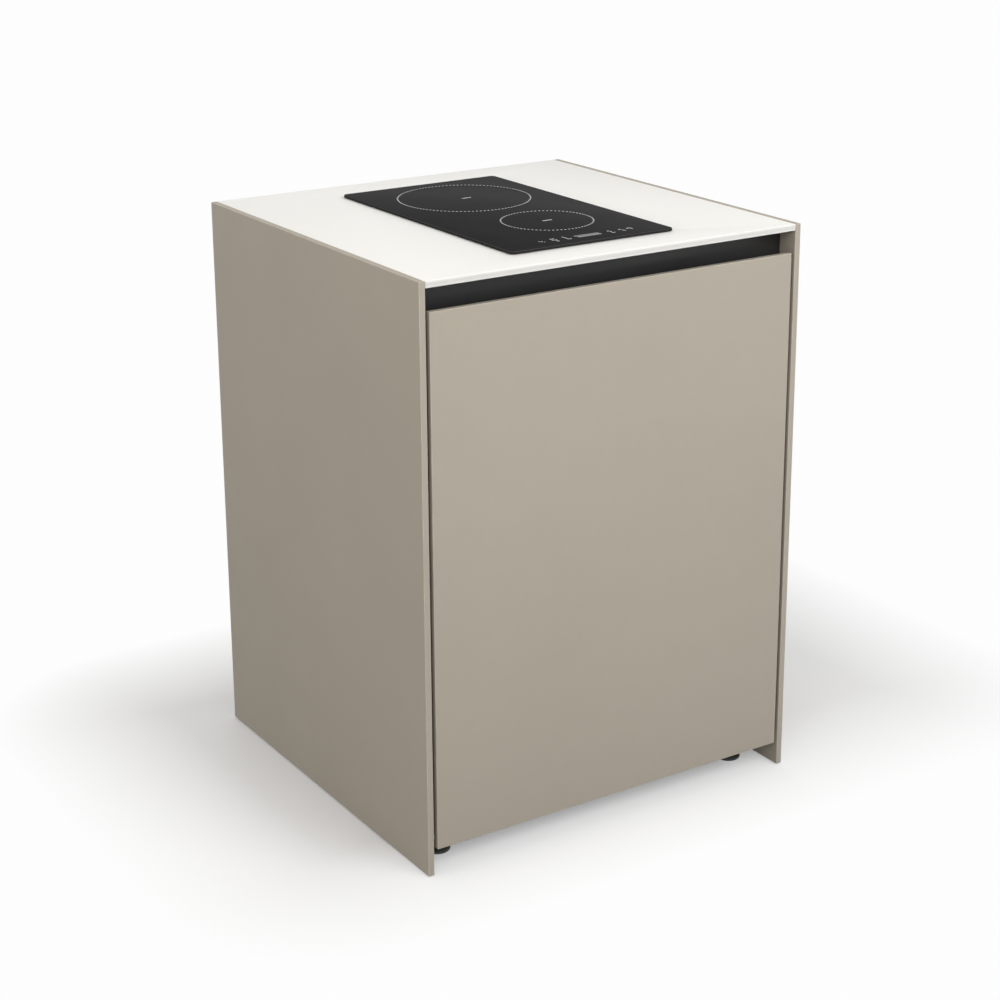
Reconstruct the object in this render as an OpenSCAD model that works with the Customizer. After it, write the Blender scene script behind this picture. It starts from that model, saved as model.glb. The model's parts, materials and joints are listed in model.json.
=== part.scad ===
// Free-standing mini kitchen block: two thin cover panels and a thin worktop around a carcass,
// a two-zone induction hob, a recessed grip channel and one full-height pull-out front.
// Millimetres, Z up, front towards -Y. The origin lies on the floor under the unit's middle.

/* [Unit] */
// Overall width over both cover panels
unit_w = 670; // [600:5:800]
// Overall depth
unit_d = 650; // [630:5:750]
// Height of the worktop's upper face
unit_h = 900; // [860:5:960]

/* [Covers and worktop] */
// Thickness of the side cover panels
cover_t = 10; // [8:1:19]
// Gap between the cover panels and the floor
cover_floor_gap = 2; // [1:0.5:6]
// Thickness of the worktop
top_t = 10; // [8:1:20]
// Joint between a cover panel and what lies between the covers
joint_gap = 0.3; // [0.2:0.1:1]

/* [Front and grip channel] */
// Thickness of the front panel
front_t = 10; // [8:1:19]
// Gap between the front panel and each cover panel
front_gap = 6; // [3:0.5:8]
// Gap between the front panel and the floor
front_floor_gap = 42; // [30:1:55]
// Height of the grip opening between the front panel and the worktop
grip_h = 34; // [25:1:45]
// Depth of the grip channel behind the front face
channel_depth = 35; // [30:1:45]
// Depth of the channel below the upper edge of the front panel
channel_drop = 28; // [20:1:35]
// Sheet thickness of the grip channel
channel_t = 2; // [1.5:0.5:3]
// Rounding of the channel's inner corners
channel_r = 6; // [3:1:9]
// Distance of the channel's flange behind the worktop's front edge
flange_setback = 5; // [2:1:10]

/* [Carcass] */
// Thickness of the carcass boards
board_t = 16; // [15:1:19]
// Height of the carcass above the floor
base_z = 60; // [50:1:70]
// Air between the front panel and the carcass
front_air = 3; // [2:0.5:5]
// Thickness of the back panel
back_t = 10; // [6:1:14]
// Gap between the back panel and the floor
back_floor_gap = 42; // [30:1:55]
// Height of the upper front and rear rails
rail_h = 62; // [55:1:70]
// Radius of the wooden dowels
dowel_r = 4; // [3:0.5:5]
// Length of the wooden dowels
dowel_l = 28; // [22:1:32]
// Depth of a dowel in the carcass side
dowel_bite = 11; // [8:1:13]
// Distance of the end dowels from a board's edge
dowel_inset = 60; // [30:5:100]

/* [Ventilation and cable outlet] */
// Width of a ventilation slot
slot_w = 30; // [20:2:40]
// Height of a ventilation slot
slot_h = 6; // [4:1:8]
// Columns of ventilation slots
slot_columns = 8; // [4:1:10]
// Rows of ventilation slots
slot_rows = 3; // [2:1:4]
// Distance between neighbouring slot columns, centre to centre
slot_pitch_x = 48; // [44:1:56]
// Distance between neighbouring slot rows, centre to centre
slot_pitch_z = 16; // [12:1:20]
// Distance of the top slot row below the worktop
slot_drop = 90; // [80:1:120]
// Inner radius of the cable outlet
outlet_r = 20; // [12:1:25]
// Wall of the cable grommet
grommet_wall = 3; // [2:0.5:4]
// Width of the grommet's collar beyond its wall
collar_w = 5; // [3:0.5:8]
// Thickness of the grommet's collar
collar_t = 2.5; // [1.5:0.5:4]
// Distance of the cable outlet from the right cover panel
outlet_inset = 125; // [60:5:200]
// Height of the cable outlet above the floor
outlet_z = 130; // [110:5:200]

/* [Levelling feet] */
// Radius of a foot's pad
foot_r = 20; // [15:1:25]
// Thickness of a foot's pad
pad_t = 8; // [6:1:12]
// Rounding of the pad's lower edge
pad_round = 3; // [1:0.5:4]
// Radius of a foot's threaded stem
stem_r = 5; // [4:0.5:6]
// Distance that the stem reaches into the carcass base
stem_rise = 12; // [8:1:14]
// Clearance round the stem in the carcass base
stem_air = 1; // [0.5:0.5:2]
// Width across the corners of the foot's hexagon
foot_hex = 18; // [15:1:22]
// Height of the foot's hexagon
foot_hex_h = 8; // [6:1:10]
// Radius of the socket's flange
socket_flange_r = 25; // [20:1:30]
// Thickness of the socket's flange
socket_flange_t = 4; // [3:0.5:6]
// Outer radius of the socket's sleeve
socket_r = 10; // [8:1:12]
// Length of the socket's sleeve below the carcass
socket_l = 28; // [20:1:30]
// Distance of the feet from the inner face of a cover panel
foot_inset_x = 46; // [42:1:90]
// Distance of the feet from the unit's front and back
foot_inset_y = 69; // [50:1:110]

/* [Runners] */
// Length of every runner member
runner_l = 550; // [450:5:560]
// Thickness of a closed runner
runner_t = 12.5; // [12:0.5:14]
// Height of the cabinet member
runner_h = 45; // [40:1:50]
// Sheet thickness of the runner members
runner_sheet = 1.5; // [1.2:0.1:1.8]
// Gap between nested runner members
runner_gap = 0.4; // [0.3:0.05:0.6]
// Distance of the runners behind the carcass's front edge
runner_setback = 2; // [1:1:8]
// Height of the lower runner's centre above the floor
lower_runner_z = 145; // [140:1:165]
// Height of the upper runner's centre above the floor
upper_runner_z = 645; // [560:5:700]

/* [Drawers] */
// Depth of the drawer boxes behind the front panel
drawer_l = 552; // [450:2:560]
// Thickness of the drawer sides and backs
drawer_side_t = 12; // [10:1:16]
// Thickness of the drawer bases
drawer_base_t = 8; // [6:1:12]
// Distance of a drawer's lower edge below the middle of its runner
drawer_drop = 43; // [35:1:50]
// Height of the deep drawer's sides
deep_side_h = 140; // [110:5:180]
// Height of the deep drawer's back
deep_back_h = 235; // [200:5:280]
// Radius of the gallery rails over the deep drawer's sides
gallery_r = 5; // [4:0.5:6]
// Distance of the upper gallery rail below the top of the deep drawer's back
gallery_top_drop = 12; // [8:1:20]
// Height between the two gallery rails of a side
gallery_pitch = 40; // [30:1:50]
// Height of the inner drawer's sides and back
inner_side_h = 100; // [80:2:130]
// Height of the inner drawer's own front
inner_front_h = 82; // [70:2:100]
// Gap between the inner drawer and the front panel
inner_gap = 6; // [4:1:12]
// Width of a bracket between the front panel and a drawer side
bracket_w = 22; // [16:1:30]
// Height of a front bracket
bracket_h = 90; // [60:5:110]
// Thickness of the steel brackets
bracket_t = 2; // [1.5:0.5:3]
// Radius of the soft bumpers behind the front panel
bumper_r = 4; // [3:0.5:4.5]
// Distance of the bumpers from the front panel's side edges
bumper_inset = 1; // [0.5:0.5:2]
// Distance of the lower and upper bumpers from the ends of the carcass front
bumper_inset_z = 40; // [20:5:80]

/* [Fixings] */
// Length of a worktop bracket's legs
angle_leg = 28; // [20:1:32]
// Width of a worktop bracket
angle_w = 40; // [30:1:50]
// Distance of the worktop brackets from the front and back rails
angle_inset = 70; // [50:5:120]
// Radius of the bracket screws
screw_r = 2; // [1.5:0.25:2.5]
// Bite of the bracket screws in a board
screw_bite = 6; // [4:0.5:7]
// Radius of the cover screws
cover_screw_r = 2.5; // [2:0.25:3]
// Bite of the cover screws in a cover panel
cover_screw_bite = 6; // [4:0.5:7]
// Distance of the cover screws from the carcass's front and back edges
cover_screw_inset_y = 92; // [60:2:130]
// Distance of the lowest cover screws above the carcass base
cover_screw_low = 174; // [130:2:260]
// Distance of the highest cover screws below the worktop
cover_screw_top = 100; // [60:5:150]
// Thickness of a screw's head
head_t = 2.5; // [1.5:0.5:3]
// Clearance round a screw, dowel or stem in its hole
fit_gap = 0.1; // [0.05:0.05:0.3]

/* [Hob] */
// Width of the glass
hob_w = 288; // [270:2:300]
// Depth of the glass
hob_d = 500; // [480:2:520]
// Thickness of the glass
glass_t = 4; // [4:0.5:6]
// Corner radius of the glass
glass_r = 8; // [3:1:12]
// Distance of the glass behind the unit's front
hob_setback = 64; // [62:1:80]
// Width of the glass that lies on the worktop
hob_lap = 10; // [9:0.5:14]
// Corner radius of the worktop's cut-out
cutout_r = 8; // [5:1:12]
// Thickness of the gasket under the glass
gasket_t = 1; // [0.5:0.25:2]
// Width of the gasket
gasket_w = 6; // [4:0.5:7]
// Gap between the hob's tray and the cut-out
tray_gap = 3; // [2:0.5:4]
// Height of the hob's tray
tray_h = 48; // [46:1:52]
// Sheet thickness of the tray
tray_t = 1.2; // [1:0.1:1.5]
// Width of the tray's bonding flange under the glass
tray_flange = 7; // [5:1:8]
// Width of the tray's air slots
air_slot = 4; // [3:0.5:5]
// Length of the inlet slots under the fan
inlet_l = 56; // [40:2:60]
// Number of inlet slots under the fan
inlet_slots = 7; // [3:1:8]
// Distance between neighbouring inlet slots, centre to centre
inlet_pitch = 9; // [7:1:10]
// Height of the outlet slots in the tray's rear wall
air_slot_h = 18; // [12:1:24]
// Number of outlet slots in the tray's rear wall
outlet_slots = 9; // [5:1:10]
// Distance between neighbouring outlet slots, centre to centre
outlet_pitch = 20; // [12:1:24]
// Width of a hob clamp
clamp_w = 20; // [14:1:26]
// Height of a hob clamp
clamp_h = 24; // [16:1:30]
// Reach of a hob clamp under the worktop
clamp_reach = 10; // [8:1:20]

/* [Hob zones] */
// Radius of the rear coil
rear_coil_r = 100; // [90:1:105]
// Radius of the front coil
front_coil_r = 68; // [66:1:75]
// Radius of the opening in a coil
coil_hole_r = 14; // [10:1:16]
// Thickness of a coil
coil_t = 7; // [5:0.5:8]
// Pitch of a coil's turns
coil_pitch = 6; // [4:0.5:8]
// Thickness of a coil carrier
carrier_t = 3; // [2:0.5:4]
// Radius of a carrier's legs
leg_r = 3.5; // [3:0.5:4]
// Distance of the rear legs' circle outside the ferrite bars
rear_leg_out = 10; // [8:1:14]
// Distance of the front legs' circle outside the ferrite bars
front_leg_out = 18; // [16:1:20]
// Distance between the outer ends of the ferrite bars and a coil's edge
ferrite_inset = 20; // [16:1:24]
// Number of ferrite bars under the rear coil
rear_bars = 8; // [5:1:10]
// Number of ferrite bars under the front coil
front_bars = 6; // [4:1:8]
// Width of a carrier's rim beyond its coil
carrier_rim = 3; // [2:0.5:5]
// Gap between a coil and the glass
coil_air = 3; // [2:0.5:4]
// Width of a ferrite bar
ferrite_w = 12; // [8:1:14]
// Thickness of a ferrite bar
ferrite_t = 5; // [3:0.5:5]
// Sideways place of the rear zone's centre
rear_zone_x = 4; // [0:1:8]
// Distance of the rear zone's centre behind the glass's front edge
rear_zone_y = 366; // [356:1:374]
// Sideways place of the front zone's centre
front_zone_x = 16; // [5:1:20]
// Distance of the front zone's centre behind the glass's front edge
front_zone_y = 151; // [146:1:156]
// Radius of a coil's temperature sensor
sensor_r = 5; // [3:0.5:6]

/* [Hob electronics] */
// Width of the power board
board_w = 100; // [80:2:110]
// Depth of the power board
board_d = 190; // [160:2:200]
// Distance of the power board's middle in front of the rear zone's centre
board_shift = 25; // [20:1:30]
// Thickness of the circuit boards
pcb_t = 1.6; // [1:0.2:2]
// Number of capacitors on the power board
capacitors = 5; // [3:1:5]
// Distance between neighbouring capacitors, centre to centre
capacitor_pitch = 30; // [22:1:32]
// Radius of a capacitor
capacitor_r = 8; // [5:0.5:10]
// Height of a capacitor and of the terminal block
capacitor_h = 14; // [8:1:16]
// Width of the power board's terminal block
block_w = 24; // [16:2:30]
// Depth of the power board's terminal block
block_d = 12; // [8:1:14]
// Height of the posts under the power board
post_h = 6; // [4:0.5:7]
// Radius of the posts under the power board
post_r = 3; // [2:0.5:4]
// Distance of the posts from the power board's edges
post_inset = 6; // [5:0.5:10]
// Height of the heat sink
sink_h = 16; // [10:1:17]
// Width of the heat sink
sink_w = 36; // [30:1:40]
// Depth of the heat sink
sink_d = 120; // [80:5:140]
// Thickness of the heat sink's base
sink_base_t = 3; // [2:0.5:5]
// Distance of the heat sink from the power board's edge
sink_inset = 4; // [2:0.5:6]
// Number of fins on the heat sink
sink_fins = 8; // [5:1:9]
// Width of the touch control board
touch_w = 200; // [180:2:210]
// Depth of the touch control board
touch_d = 30; // [24:1:34]
// Distance of the control row behind the glass's front edge
touch_y = 31; // [30:1:36]
// Width of the display block
display_w = 52; // [40:1:60]
// Depth of the display block
display_d = 10; // [8:1:12]
// Sideways place of the display block
display_x = 9; // [5:1:12]
// Radius of a touch sensor
touch_r = 5; // [3:0.5:6]
// Distance of the control board under the glass
touch_drop = 4; // [3:0.5:6]
// Side length of the fan's housing
fan_size = 78; // [70:1:80]
// Height of the fan's housing
fan_h = 15; // [13:0.5:18]
// Radius of the fan's rotor
fan_r = 35; // [30:0.5:36]
// Running gap between the rotor and its housing
fan_gap = 1; // [0.6:0.2:2]
// Radius of the fan's hub
hub_r = 13; // [10:0.5:15]
// Number of fan blades
fan_blades = 7; // [5:1:9]
// Pitch of the fan blades in degrees
blade_pitch = 35; // [20:5:50]
// Thickness of a fan blade
blade_t = 1.5; // [1:0.1:2]
// Width and height of the struts that carry the fan's hub
fan_strut = 4; // [3:0.5:5]
// Radius of the pin that the rotor turns on
pin_r = 1.5; // [1:0.25:2]
// Running clearance between the rotor and its pin
pin_gap = 0.05; // [0.03:0.01:0.1]
// Width of the terminal box
terminal_w = 32; // [26:1:38]
// Depth of the terminal box
terminal_d = 50; // [40:2:60]
// Height of the terminal box
terminal_h = 26; // [20:1:28]
// Height of the terminal box above the tray's underside
terminal_lift = 6; // [4:1:8]
// Inner radius of the mains inlet gland
gland_r = 4.5; // [3.5:0.5:6]
// Wall of the mains inlet gland
gland_wall = 3; // [2:0.5:4]
// Length of the mains inlet gland
gland_l = 12; // [8:1:15]

/* [Heat shield] */
// Distance of the heat shield under the hob's tray
shield_air = 13; // [10:1:18]
// Sheet thickness of the heat shield
shield_t = 1.5; // [1:0.5:2.5]
// Height of the heat shield's side flanges
shield_flange = 20; // [15:1:25]
// Air gap behind the heat shield
shield_vent = 40; // [20:5:60]

/* [Hidden] */
$fn = 64;

// Sides of the unit
LEFT = -1;
RIGHT = 1;
// Overshoot of a cutting body beyond the face that it opens
cut = 1;
// Clearance between faces that must not touch on different bodies
body_gap = 0.3;

// Planes of the outer panels
cover_in_x = unit_w / 2 - cover_t;
front_y = -unit_d / 2;
back_y = unit_d / 2;
between_x = cover_in_x - joint_gap;
top_under_z = unit_h - top_t;
front_top_z = top_under_z - grip_h;
front_back_y = front_y + front_t;
front_half_w = cover_in_x - front_gap;

// Planes of the carcass
carcass_front_y = front_back_y + front_air;
carcass_back_y = back_y - back_t;
carcass_in_x = cover_in_x - board_t;
floor_z = base_z + board_t;

// Place of the cable outlet
outlet_x = cover_in_x - outlet_inset;

// Planes of the grip channel
channel_wall_y = front_y + channel_depth;
channel_back_y = channel_wall_y + channel_t;
channel_floor_z = front_top_z - channel_drop;
channel_low_z = channel_floor_z - channel_t;
channel_lip_y = carcass_front_y;

// Planes of the hob
hob_front_y = front_y + hob_setback;
hob_mid_y = hob_front_y + hob_d / 2;
cutout_w = hob_w - 2 * hob_lap;
cutout_d = hob_d - 2 * hob_lap;
tray_w = cutout_w - 2 * tray_gap;
tray_d = cutout_d - 2 * tray_gap;
glass_z = unit_h + gasket_t;
tray_z = glass_z - tray_h;
tray_floor_z = tray_z + tray_t;
coil_z = glass_z - coil_air - coil_t;
carrier_z = coil_z - carrier_t;
ferrite_z = carrier_z - ferrite_t;
rear_centre = [rear_zone_x, hob_front_y + rear_zone_y];
front_centre = [front_zone_x, hob_front_y + front_zone_y];
rear_bar_out = rear_coil_r - ferrite_inset;
front_bar_out = front_coil_r - ferrite_inset;
rear_leg_r = rear_bar_out + rear_leg_out;
front_leg_r = front_bar_out + front_leg_out;
board_z = tray_floor_z + post_h;
board_centre = [rear_zone_x, rear_centre[1] - board_shift];

// Sideways places of the touch sensors
touch_x = [-76, -57, -36, 50, 65, 88];

// Planes of the heat shield
shield_z = tray_z - shield_air;
shield_front_y = channel_back_y + board_t;
shield_back_y = carcass_back_y - board_t - shield_vent;

// Planes of the runners and drawers
runner_y = carcass_front_y + runner_setback;
drawer_out_x = carcass_in_x - runner_t;
drawer_in_x = drawer_out_x - drawer_side_t;
drawer_back_y = front_back_y + drawer_l;
deep_z = lower_runner_z - drawer_drop;
inner_z = upper_runner_z - drawer_drop;
inner_front_y = front_back_y + inner_gap;
gallery_x = drawer_out_x - drawer_side_t / 2;
gallery_z = [for (i = [0, 1]) deep_z + deep_back_h - gallery_top_drop - i * gallery_pitch];

// Places that repeat
sides = [LEFT, RIGHT];
foot_x = cover_in_x - foot_inset_x;
foot_y = unit_d / 2 - foot_inset_y;
angle_y = [channel_back_y + board_t + angle_inset, carcass_back_y - board_t - angle_inset];
cover_screw_y = [carcass_front_y + cover_screw_inset_y, carcass_back_y - cover_screw_inset_y];
cover_screw_low_z = floor_z + cover_screw_low;
cover_screw_top_z = top_under_z - cover_screw_top;
cover_screw_z = [cover_screw_low_z, (cover_screw_low_z + cover_screw_top_z) / 2, cover_screw_top_z];
base_dowel_y = [carcass_front_y + dowel_inset, 0, carcass_back_y - dowel_inset];
rail_mid_z = top_under_z - rail_h / 2;
front_rail_y = channel_back_y + board_t / 2;
rear_rail_y = carcass_back_y - board_t / 2;
bumper_x = front_half_w - bumper_inset - bumper_r;
bumper_z = [base_z + bumper_inset_z, channel_low_z - bumper_inset_z];

taupe = [0.66, 0.62, 0.55];
white = [0.95, 0.95, 0.93];
anthracite = [0.2, 0.2, 0.2];
black = [0.08, 0.08, 0.08];
steel = [0.72, 0.73, 0.74];
light_grey = [0.8, 0.81, 0.82];
copper = [0.72, 0.45, 0.25];
wood = [0.8, 0.68, 0.5];

// A board between two opposite corners
module board(low, high) {
    translate(low) cube(high - low);
}

// Repeats its children on the left and mirrored on the right
module both_sides() {
    children();
    mirror([1, 0, 0]) children();
}

// Places its children, drawn for the right, on the given side
module on_side(side) {
    if (side == RIGHT) children();
    else mirror([1, 0, 0]) children();
}

// A rectangle with round corners, centred
module round_rect(w, d, r) {
    square([w - 2 * r, d], center = true);
    square([w, d - 2 * r], center = true);
    for (x = sides, y = sides) translate([x * (w / 2 - r), y * (d / 2 - r)]) circle(r);
}

// A cylinder along X that starts at the given point
module rod_x(start, length, r) {
    translate(start) rotate([0, 90, 0]) cylinder(h = length, r = r);
}

// A cylinder along Y that starts at the given point
module rod_y(start, length, r) {
    translate(start) rotate([-90, 0, 0]) cylinder(h = length, r = r);
}

// Cover panels

module cover_right() {
    color(taupe) difference() {
        board([cover_in_x, front_y, cover_floor_gap], [unit_w / 2, back_y, unit_h]);
        cover_screw_holes();
    }
}

module cover_left() {
    mirror([1, 0, 0]) cover_right();
}

module cover_screw_holes() {
    for (y = cover_screw_y, z = cover_screw_z)
        rod_x([carcass_in_x - cut, y, z], board_t + cover_screw_bite + cut, cover_screw_r + fit_gap);
}

module cover_screws() {
    color(steel) both_sides() for (y = cover_screw_y, z = cover_screw_z) {
        rod_x([carcass_in_x, y, z], board_t + cover_screw_bite, cover_screw_r);
        rod_x([carcass_in_x - head_t, y, z], head_t, 2 * cover_screw_r);
    }
}

// Worktop and its brackets

module worktop() {
    color(white) difference() {
        board([-between_x, front_y, top_under_z], [between_x, back_y, unit_h]);
        translate([0, hob_mid_y, top_under_z - cut])
            linear_extrude(top_t + 2 * cut) round_rect(cutout_w, cutout_d, cutout_r);
        both_sides() for (y = angle_y) worktop_screw_hole(y);
    }
}

module worktop_screw_hole(y) {
    translate([carcass_in_x - angle_leg / 2, y, top_under_z - bracket_t - cut])
        cylinder(h = bracket_t + screw_bite + cut, r = screw_r + fit_gap);
}

module side_screw_hole(y) {
    rod_x([carcass_in_x - bracket_t - cut, y, top_under_z - angle_leg / 2],
        bracket_t + screw_bite + cut, screw_r + fit_gap);
}

module worktop_brackets() {
    color(steel) both_sides() for (y = angle_y) difference() {
        union() {
            board([carcass_in_x - angle_leg, y - angle_w / 2, top_under_z - bracket_t],
                [carcass_in_x, y + angle_w / 2, top_under_z]);
            board([carcass_in_x - bracket_t, y - angle_w / 2, top_under_z - angle_leg],
                [carcass_in_x, y + angle_w / 2, top_under_z]);
        }
        worktop_screw_hole(y);
        side_screw_hole(y);
    }
}

module worktop_screws() {
    under = top_under_z - bracket_t;
    inside = carcass_in_x - bracket_t;
    color(steel) both_sides() for (y = angle_y) {
        translate([carcass_in_x - angle_leg / 2, y, under]) {
            cylinder(h = bracket_t + screw_bite, r = screw_r);
            translate([0, 0, -head_t]) cylinder(h = head_t, r = 2 * screw_r);
        }
        rod_x([inside, y, top_under_z - angle_leg / 2], bracket_t + screw_bite, screw_r);
        rod_x([inside - head_t, y, top_under_z - angle_leg / 2], head_t, 2 * screw_r);
    }
}

// Carcass

module carcass_side_right() {
    color(anthracite) difference() {
        board([carcass_in_x, carcass_front_y, base_z], [cover_in_x, carcass_back_y, top_under_z]);
        board([carcass_in_x - cut, carcass_front_y - cut, channel_low_z],
            [cover_in_x + cut, channel_back_y, top_under_z + cut]);
        cover_screw_holes();
        for (y = angle_y) side_screw_hole(y);
        dowels_right(fit_gap);
    }
}

module carcass_side_left() {
    mirror([1, 0, 0]) carcass_side_right();
}

module carcass_base() {
    color(anthracite) difference() {
        board([-carcass_in_x, carcass_front_y, base_z], [carcass_in_x, carcass_back_y, floor_z]);
        for (x = sides, y = sides) translate([x * foot_x, y * foot_y, base_z - cut])
            cylinder(h = board_t + 2 * cut, r = stem_r + stem_air);
        both_sides() dowels_right(fit_gap);
    }
}

module front_rail() {
    color(anthracite) difference() {
        board([-carcass_in_x, channel_back_y, top_under_z - rail_h],
            [carcass_in_x, channel_back_y + board_t, top_under_z]);
        both_sides() dowels_right(fit_gap);
    }
}

module rear_rail() {
    color(anthracite) difference() {
        board([-carcass_in_x, carcass_back_y - board_t, top_under_z - rail_h],
            [carcass_in_x, carcass_back_y, top_under_z]);
        both_sides() dowels_right(fit_gap);
    }
}

// The dowels of the right side, or their holes when grown by a gap
module dowels_right(gap) {
    start_x = carcass_in_x + dowel_bite - dowel_l;
    for (y = base_dowel_y)
        rod_x([start_x - gap, y, base_z + board_t / 2], dowel_l + 2 * gap, dowel_r + gap);
    for (y = [front_rail_y, rear_rail_y])
        rod_x([start_x - gap, y, rail_mid_z], dowel_l + 2 * gap, dowel_r + gap);
}

module carcass_dowels() {
    color(wood) both_sides() dowels_right(0);
}

module back_panel() {
    color(taupe) difference() {
        board([-between_x, carcass_back_y, back_floor_gap], [between_x, back_y, top_under_z]);
        for (c = [0 : slot_columns - 1], r = [0 : slot_rows - 1])
            translate([(c - (slot_columns - 1) / 2) * slot_pitch_x, carcass_back_y + back_t / 2,
                top_under_z - slot_drop - r * slot_pitch_z])
                cube([slot_w, back_t + 2 * cut, slot_h], center = true);
        rod_y([outlet_x, carcass_back_y - cut, outlet_z], back_t + 2 * cut,
            outlet_r + grommet_wall + fit_gap);
        rod_y([outlet_x, back_y - collar_t, outlet_z], collar_t + cut,
            outlet_r + grommet_wall + collar_w + fit_gap);
    }
}

module cable_grommet() {
    color(black) difference() {
        union() {
            rod_y([outlet_x, carcass_back_y, outlet_z], back_t, outlet_r + grommet_wall);
            rod_y([outlet_x, back_y - collar_t, outlet_z], collar_t, outlet_r + grommet_wall + collar_w);
        }
        rod_y([outlet_x, carcass_back_y - cut, outlet_z], back_t + 2 * cut, outlet_r);
    }
}

// Grip channel: a recess with round corners in a folded sheet, open to the front

module grip_channel() {
    inner_h = top_under_z - channel_t - channel_floor_z;
    color(black) translate([-between_x, 0, 0]) rotate([90, 0, 90]) linear_extrude(2 * between_x)
        difference() {
            union() {
                translate([channel_lip_y, channel_low_z])
                    square([channel_back_y - channel_lip_y, top_under_z - channel_low_z]);
                translate([front_y + flange_setback, top_under_z - channel_t])
                    square([channel_lip_y - front_y, channel_t]);
            }
            translate([channel_wall_y - channel_depth, channel_floor_z + inner_h / 2])
                round_rect(2 * channel_depth, inner_h, channel_r);
        }
}

// Levelling feet

module foot_sockets() {
    color(black) for (x = sides, y = sides) translate([x * foot_x, y * foot_y, 0]) difference() {
        union() {
            translate([0, 0, base_z - socket_flange_t]) cylinder(h = socket_flange_t, r = socket_flange_r);
            translate([0, 0, base_z - socket_l]) cylinder(h = socket_l, r = socket_r);
        }
        translate([0, 0, base_z - socket_l - cut]) cylinder(h = socket_l + 2 * cut, r = stem_r + fit_gap);
    }
}

module foot(x, y) {
    color(black) translate([x * foot_x, y * foot_y, 0]) {
        rotate_extrude() {
            translate([0, pad_round]) square([foot_r, pad_t - pad_round]);
            square([foot_r - pad_round, pad_t]);
            translate([foot_r - pad_round, pad_round]) intersection() {
                circle(pad_round);
                translate([-cut, -pad_round]) square([pad_round + cut, pad_round]);
            }
        }
        translate([0, 0, pad_t]) cylinder(h = foot_hex_h, r = foot_hex / 2, $fn = 6);
        translate([0, 0, pad_t]) cylinder(h = base_z + stem_rise - pad_t, r = stem_r);
    }
}

// Runners: three nested members, drawn for the right with s measured inwards from the carcass

// A C-shaped or I-shaped section: a web from s0 with flanges from f0 to f1 at the half height h
module rail_section(s0, f0, f1, h) {
    translate([-s0 - runner_sheet, -h]) square([runner_sheet, 2 * h]);
    for (z = [-h, h - runner_sheet]) translate([-f1, z]) square([f1 - f0, runner_sheet]);
}

module rail(side, z, s0, f0, f1, h) {
    on_side(side) translate([carcass_in_x, runner_y + runner_l, z]) rotate([90, 0, 0])
        linear_extrude(runner_l) rail_section(s0, f0, f1, h);
}

middle_h = runner_h / 2 - runner_sheet - runner_gap;
inner_h = middle_h - runner_sheet - runner_gap;
middle_s = (runner_t - runner_sheet) / 2;
flange_inset = runner_sheet + runner_gap;

module cabinet_rail(side, z) {
    color(steel) rail(side, z, 0, 0, middle_s + runner_sheet + flange_inset, runner_h / 2);
}

module middle_rail(side, z) {
    color(steel) rail(side, z, middle_s, flange_inset, runner_t - flange_inset, middle_h);
}

module drawer_rail(side, z) {
    color(steel) rail(side, z, runner_t - runner_sheet, middle_s + flange_inset, runner_t, inner_h);
}

module drawer_rails(z) {
    drawer_rail(LEFT, z);
    drawer_rail(RIGHT, z);
}

// Front panel and deep drawer

module front_panel() {
    color(taupe) board([-front_half_w, front_y, front_floor_gap], [front_half_w, front_back_y, front_top_z]);
}

module front_brackets() {
    z0 = deep_z + (deep_side_h - bracket_h) / 2;
    color(steel) both_sides() {
        board([drawer_in_x - bracket_w, front_back_y, z0],
            [drawer_in_x, front_back_y + bracket_t, z0 + bracket_h]);
        board([drawer_in_x - bracket_t, front_back_y, z0],
            [drawer_in_x, front_back_y + bracket_w, z0 + bracket_h]);
    }
}

module front_bumpers() {
    color(light_grey) for (x = sides, z = bumper_z)
        rod_y([x * bumper_x, front_back_y, z], front_air - body_gap, bumper_r);
}

// A drawer's side wall with a round upper edge, drawn for the right
module drawer_wall(y0, z0, h) {
    y1 = drawer_back_y - drawer_side_t;
    r = drawer_side_t / 2;
    board([drawer_in_x, y0, z0], [drawer_out_x, y1, z0 + h - r]);
    rod_y([drawer_in_x + r, y0, z0 + h - r], y1 - y0, r);
}

module deep_drawer_side(side) {
    color(light_grey) on_side(side) drawer_wall(front_back_y, deep_z, deep_side_h);
}

module deep_drawer_back() {
    color(light_grey) board([-drawer_out_x, drawer_back_y - drawer_side_t, deep_z],
        [drawer_out_x, drawer_back_y, deep_z + deep_back_h]);
}

module deep_drawer_base() {
    color(light_grey) board([-drawer_in_x, front_back_y, deep_z],
        [drawer_in_x, drawer_back_y - drawer_side_t, deep_z + drawer_base_t]);
}

module gallery_rails() {
    color(steel) for (x = sides, z = gallery_z)
        rod_y([x * gallery_x, front_back_y, z], drawer_l - drawer_side_t, gallery_r);
}

// Inner drawer

module inner_drawer_side(side) {
    color(light_grey) on_side(side) drawer_wall(inner_front_y + drawer_side_t, inner_z, inner_side_h);
}

module inner_drawer_front() {
    r = drawer_side_t / 2;
    color(light_grey) {
        board([-drawer_out_x, inner_front_y, inner_z],
            [drawer_out_x, inner_front_y + drawer_side_t, inner_z + inner_front_h - r]);
        rod_x([-drawer_out_x, inner_front_y + r, inner_z + inner_front_h - r], 2 * drawer_out_x, r);
    }
}

module inner_drawer_back() {
    color(light_grey) board([-drawer_out_x, drawer_back_y - drawer_side_t, inner_z],
        [drawer_out_x, drawer_back_y, inner_z + inner_side_h]);
}

module inner_drawer_base() {
    color(light_grey) board([-drawer_in_x, inner_front_y + drawer_side_t, inner_z],
        [drawer_in_x, drawer_back_y - drawer_side_t, inner_z + drawer_base_t]);
}

// Hob: glass, gasket and tray

module hob_glass() {
    color(black) translate([0, hob_mid_y, glass_z]) linear_extrude(glass_t)
        round_rect(hob_w, hob_d, glass_r);
}

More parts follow.
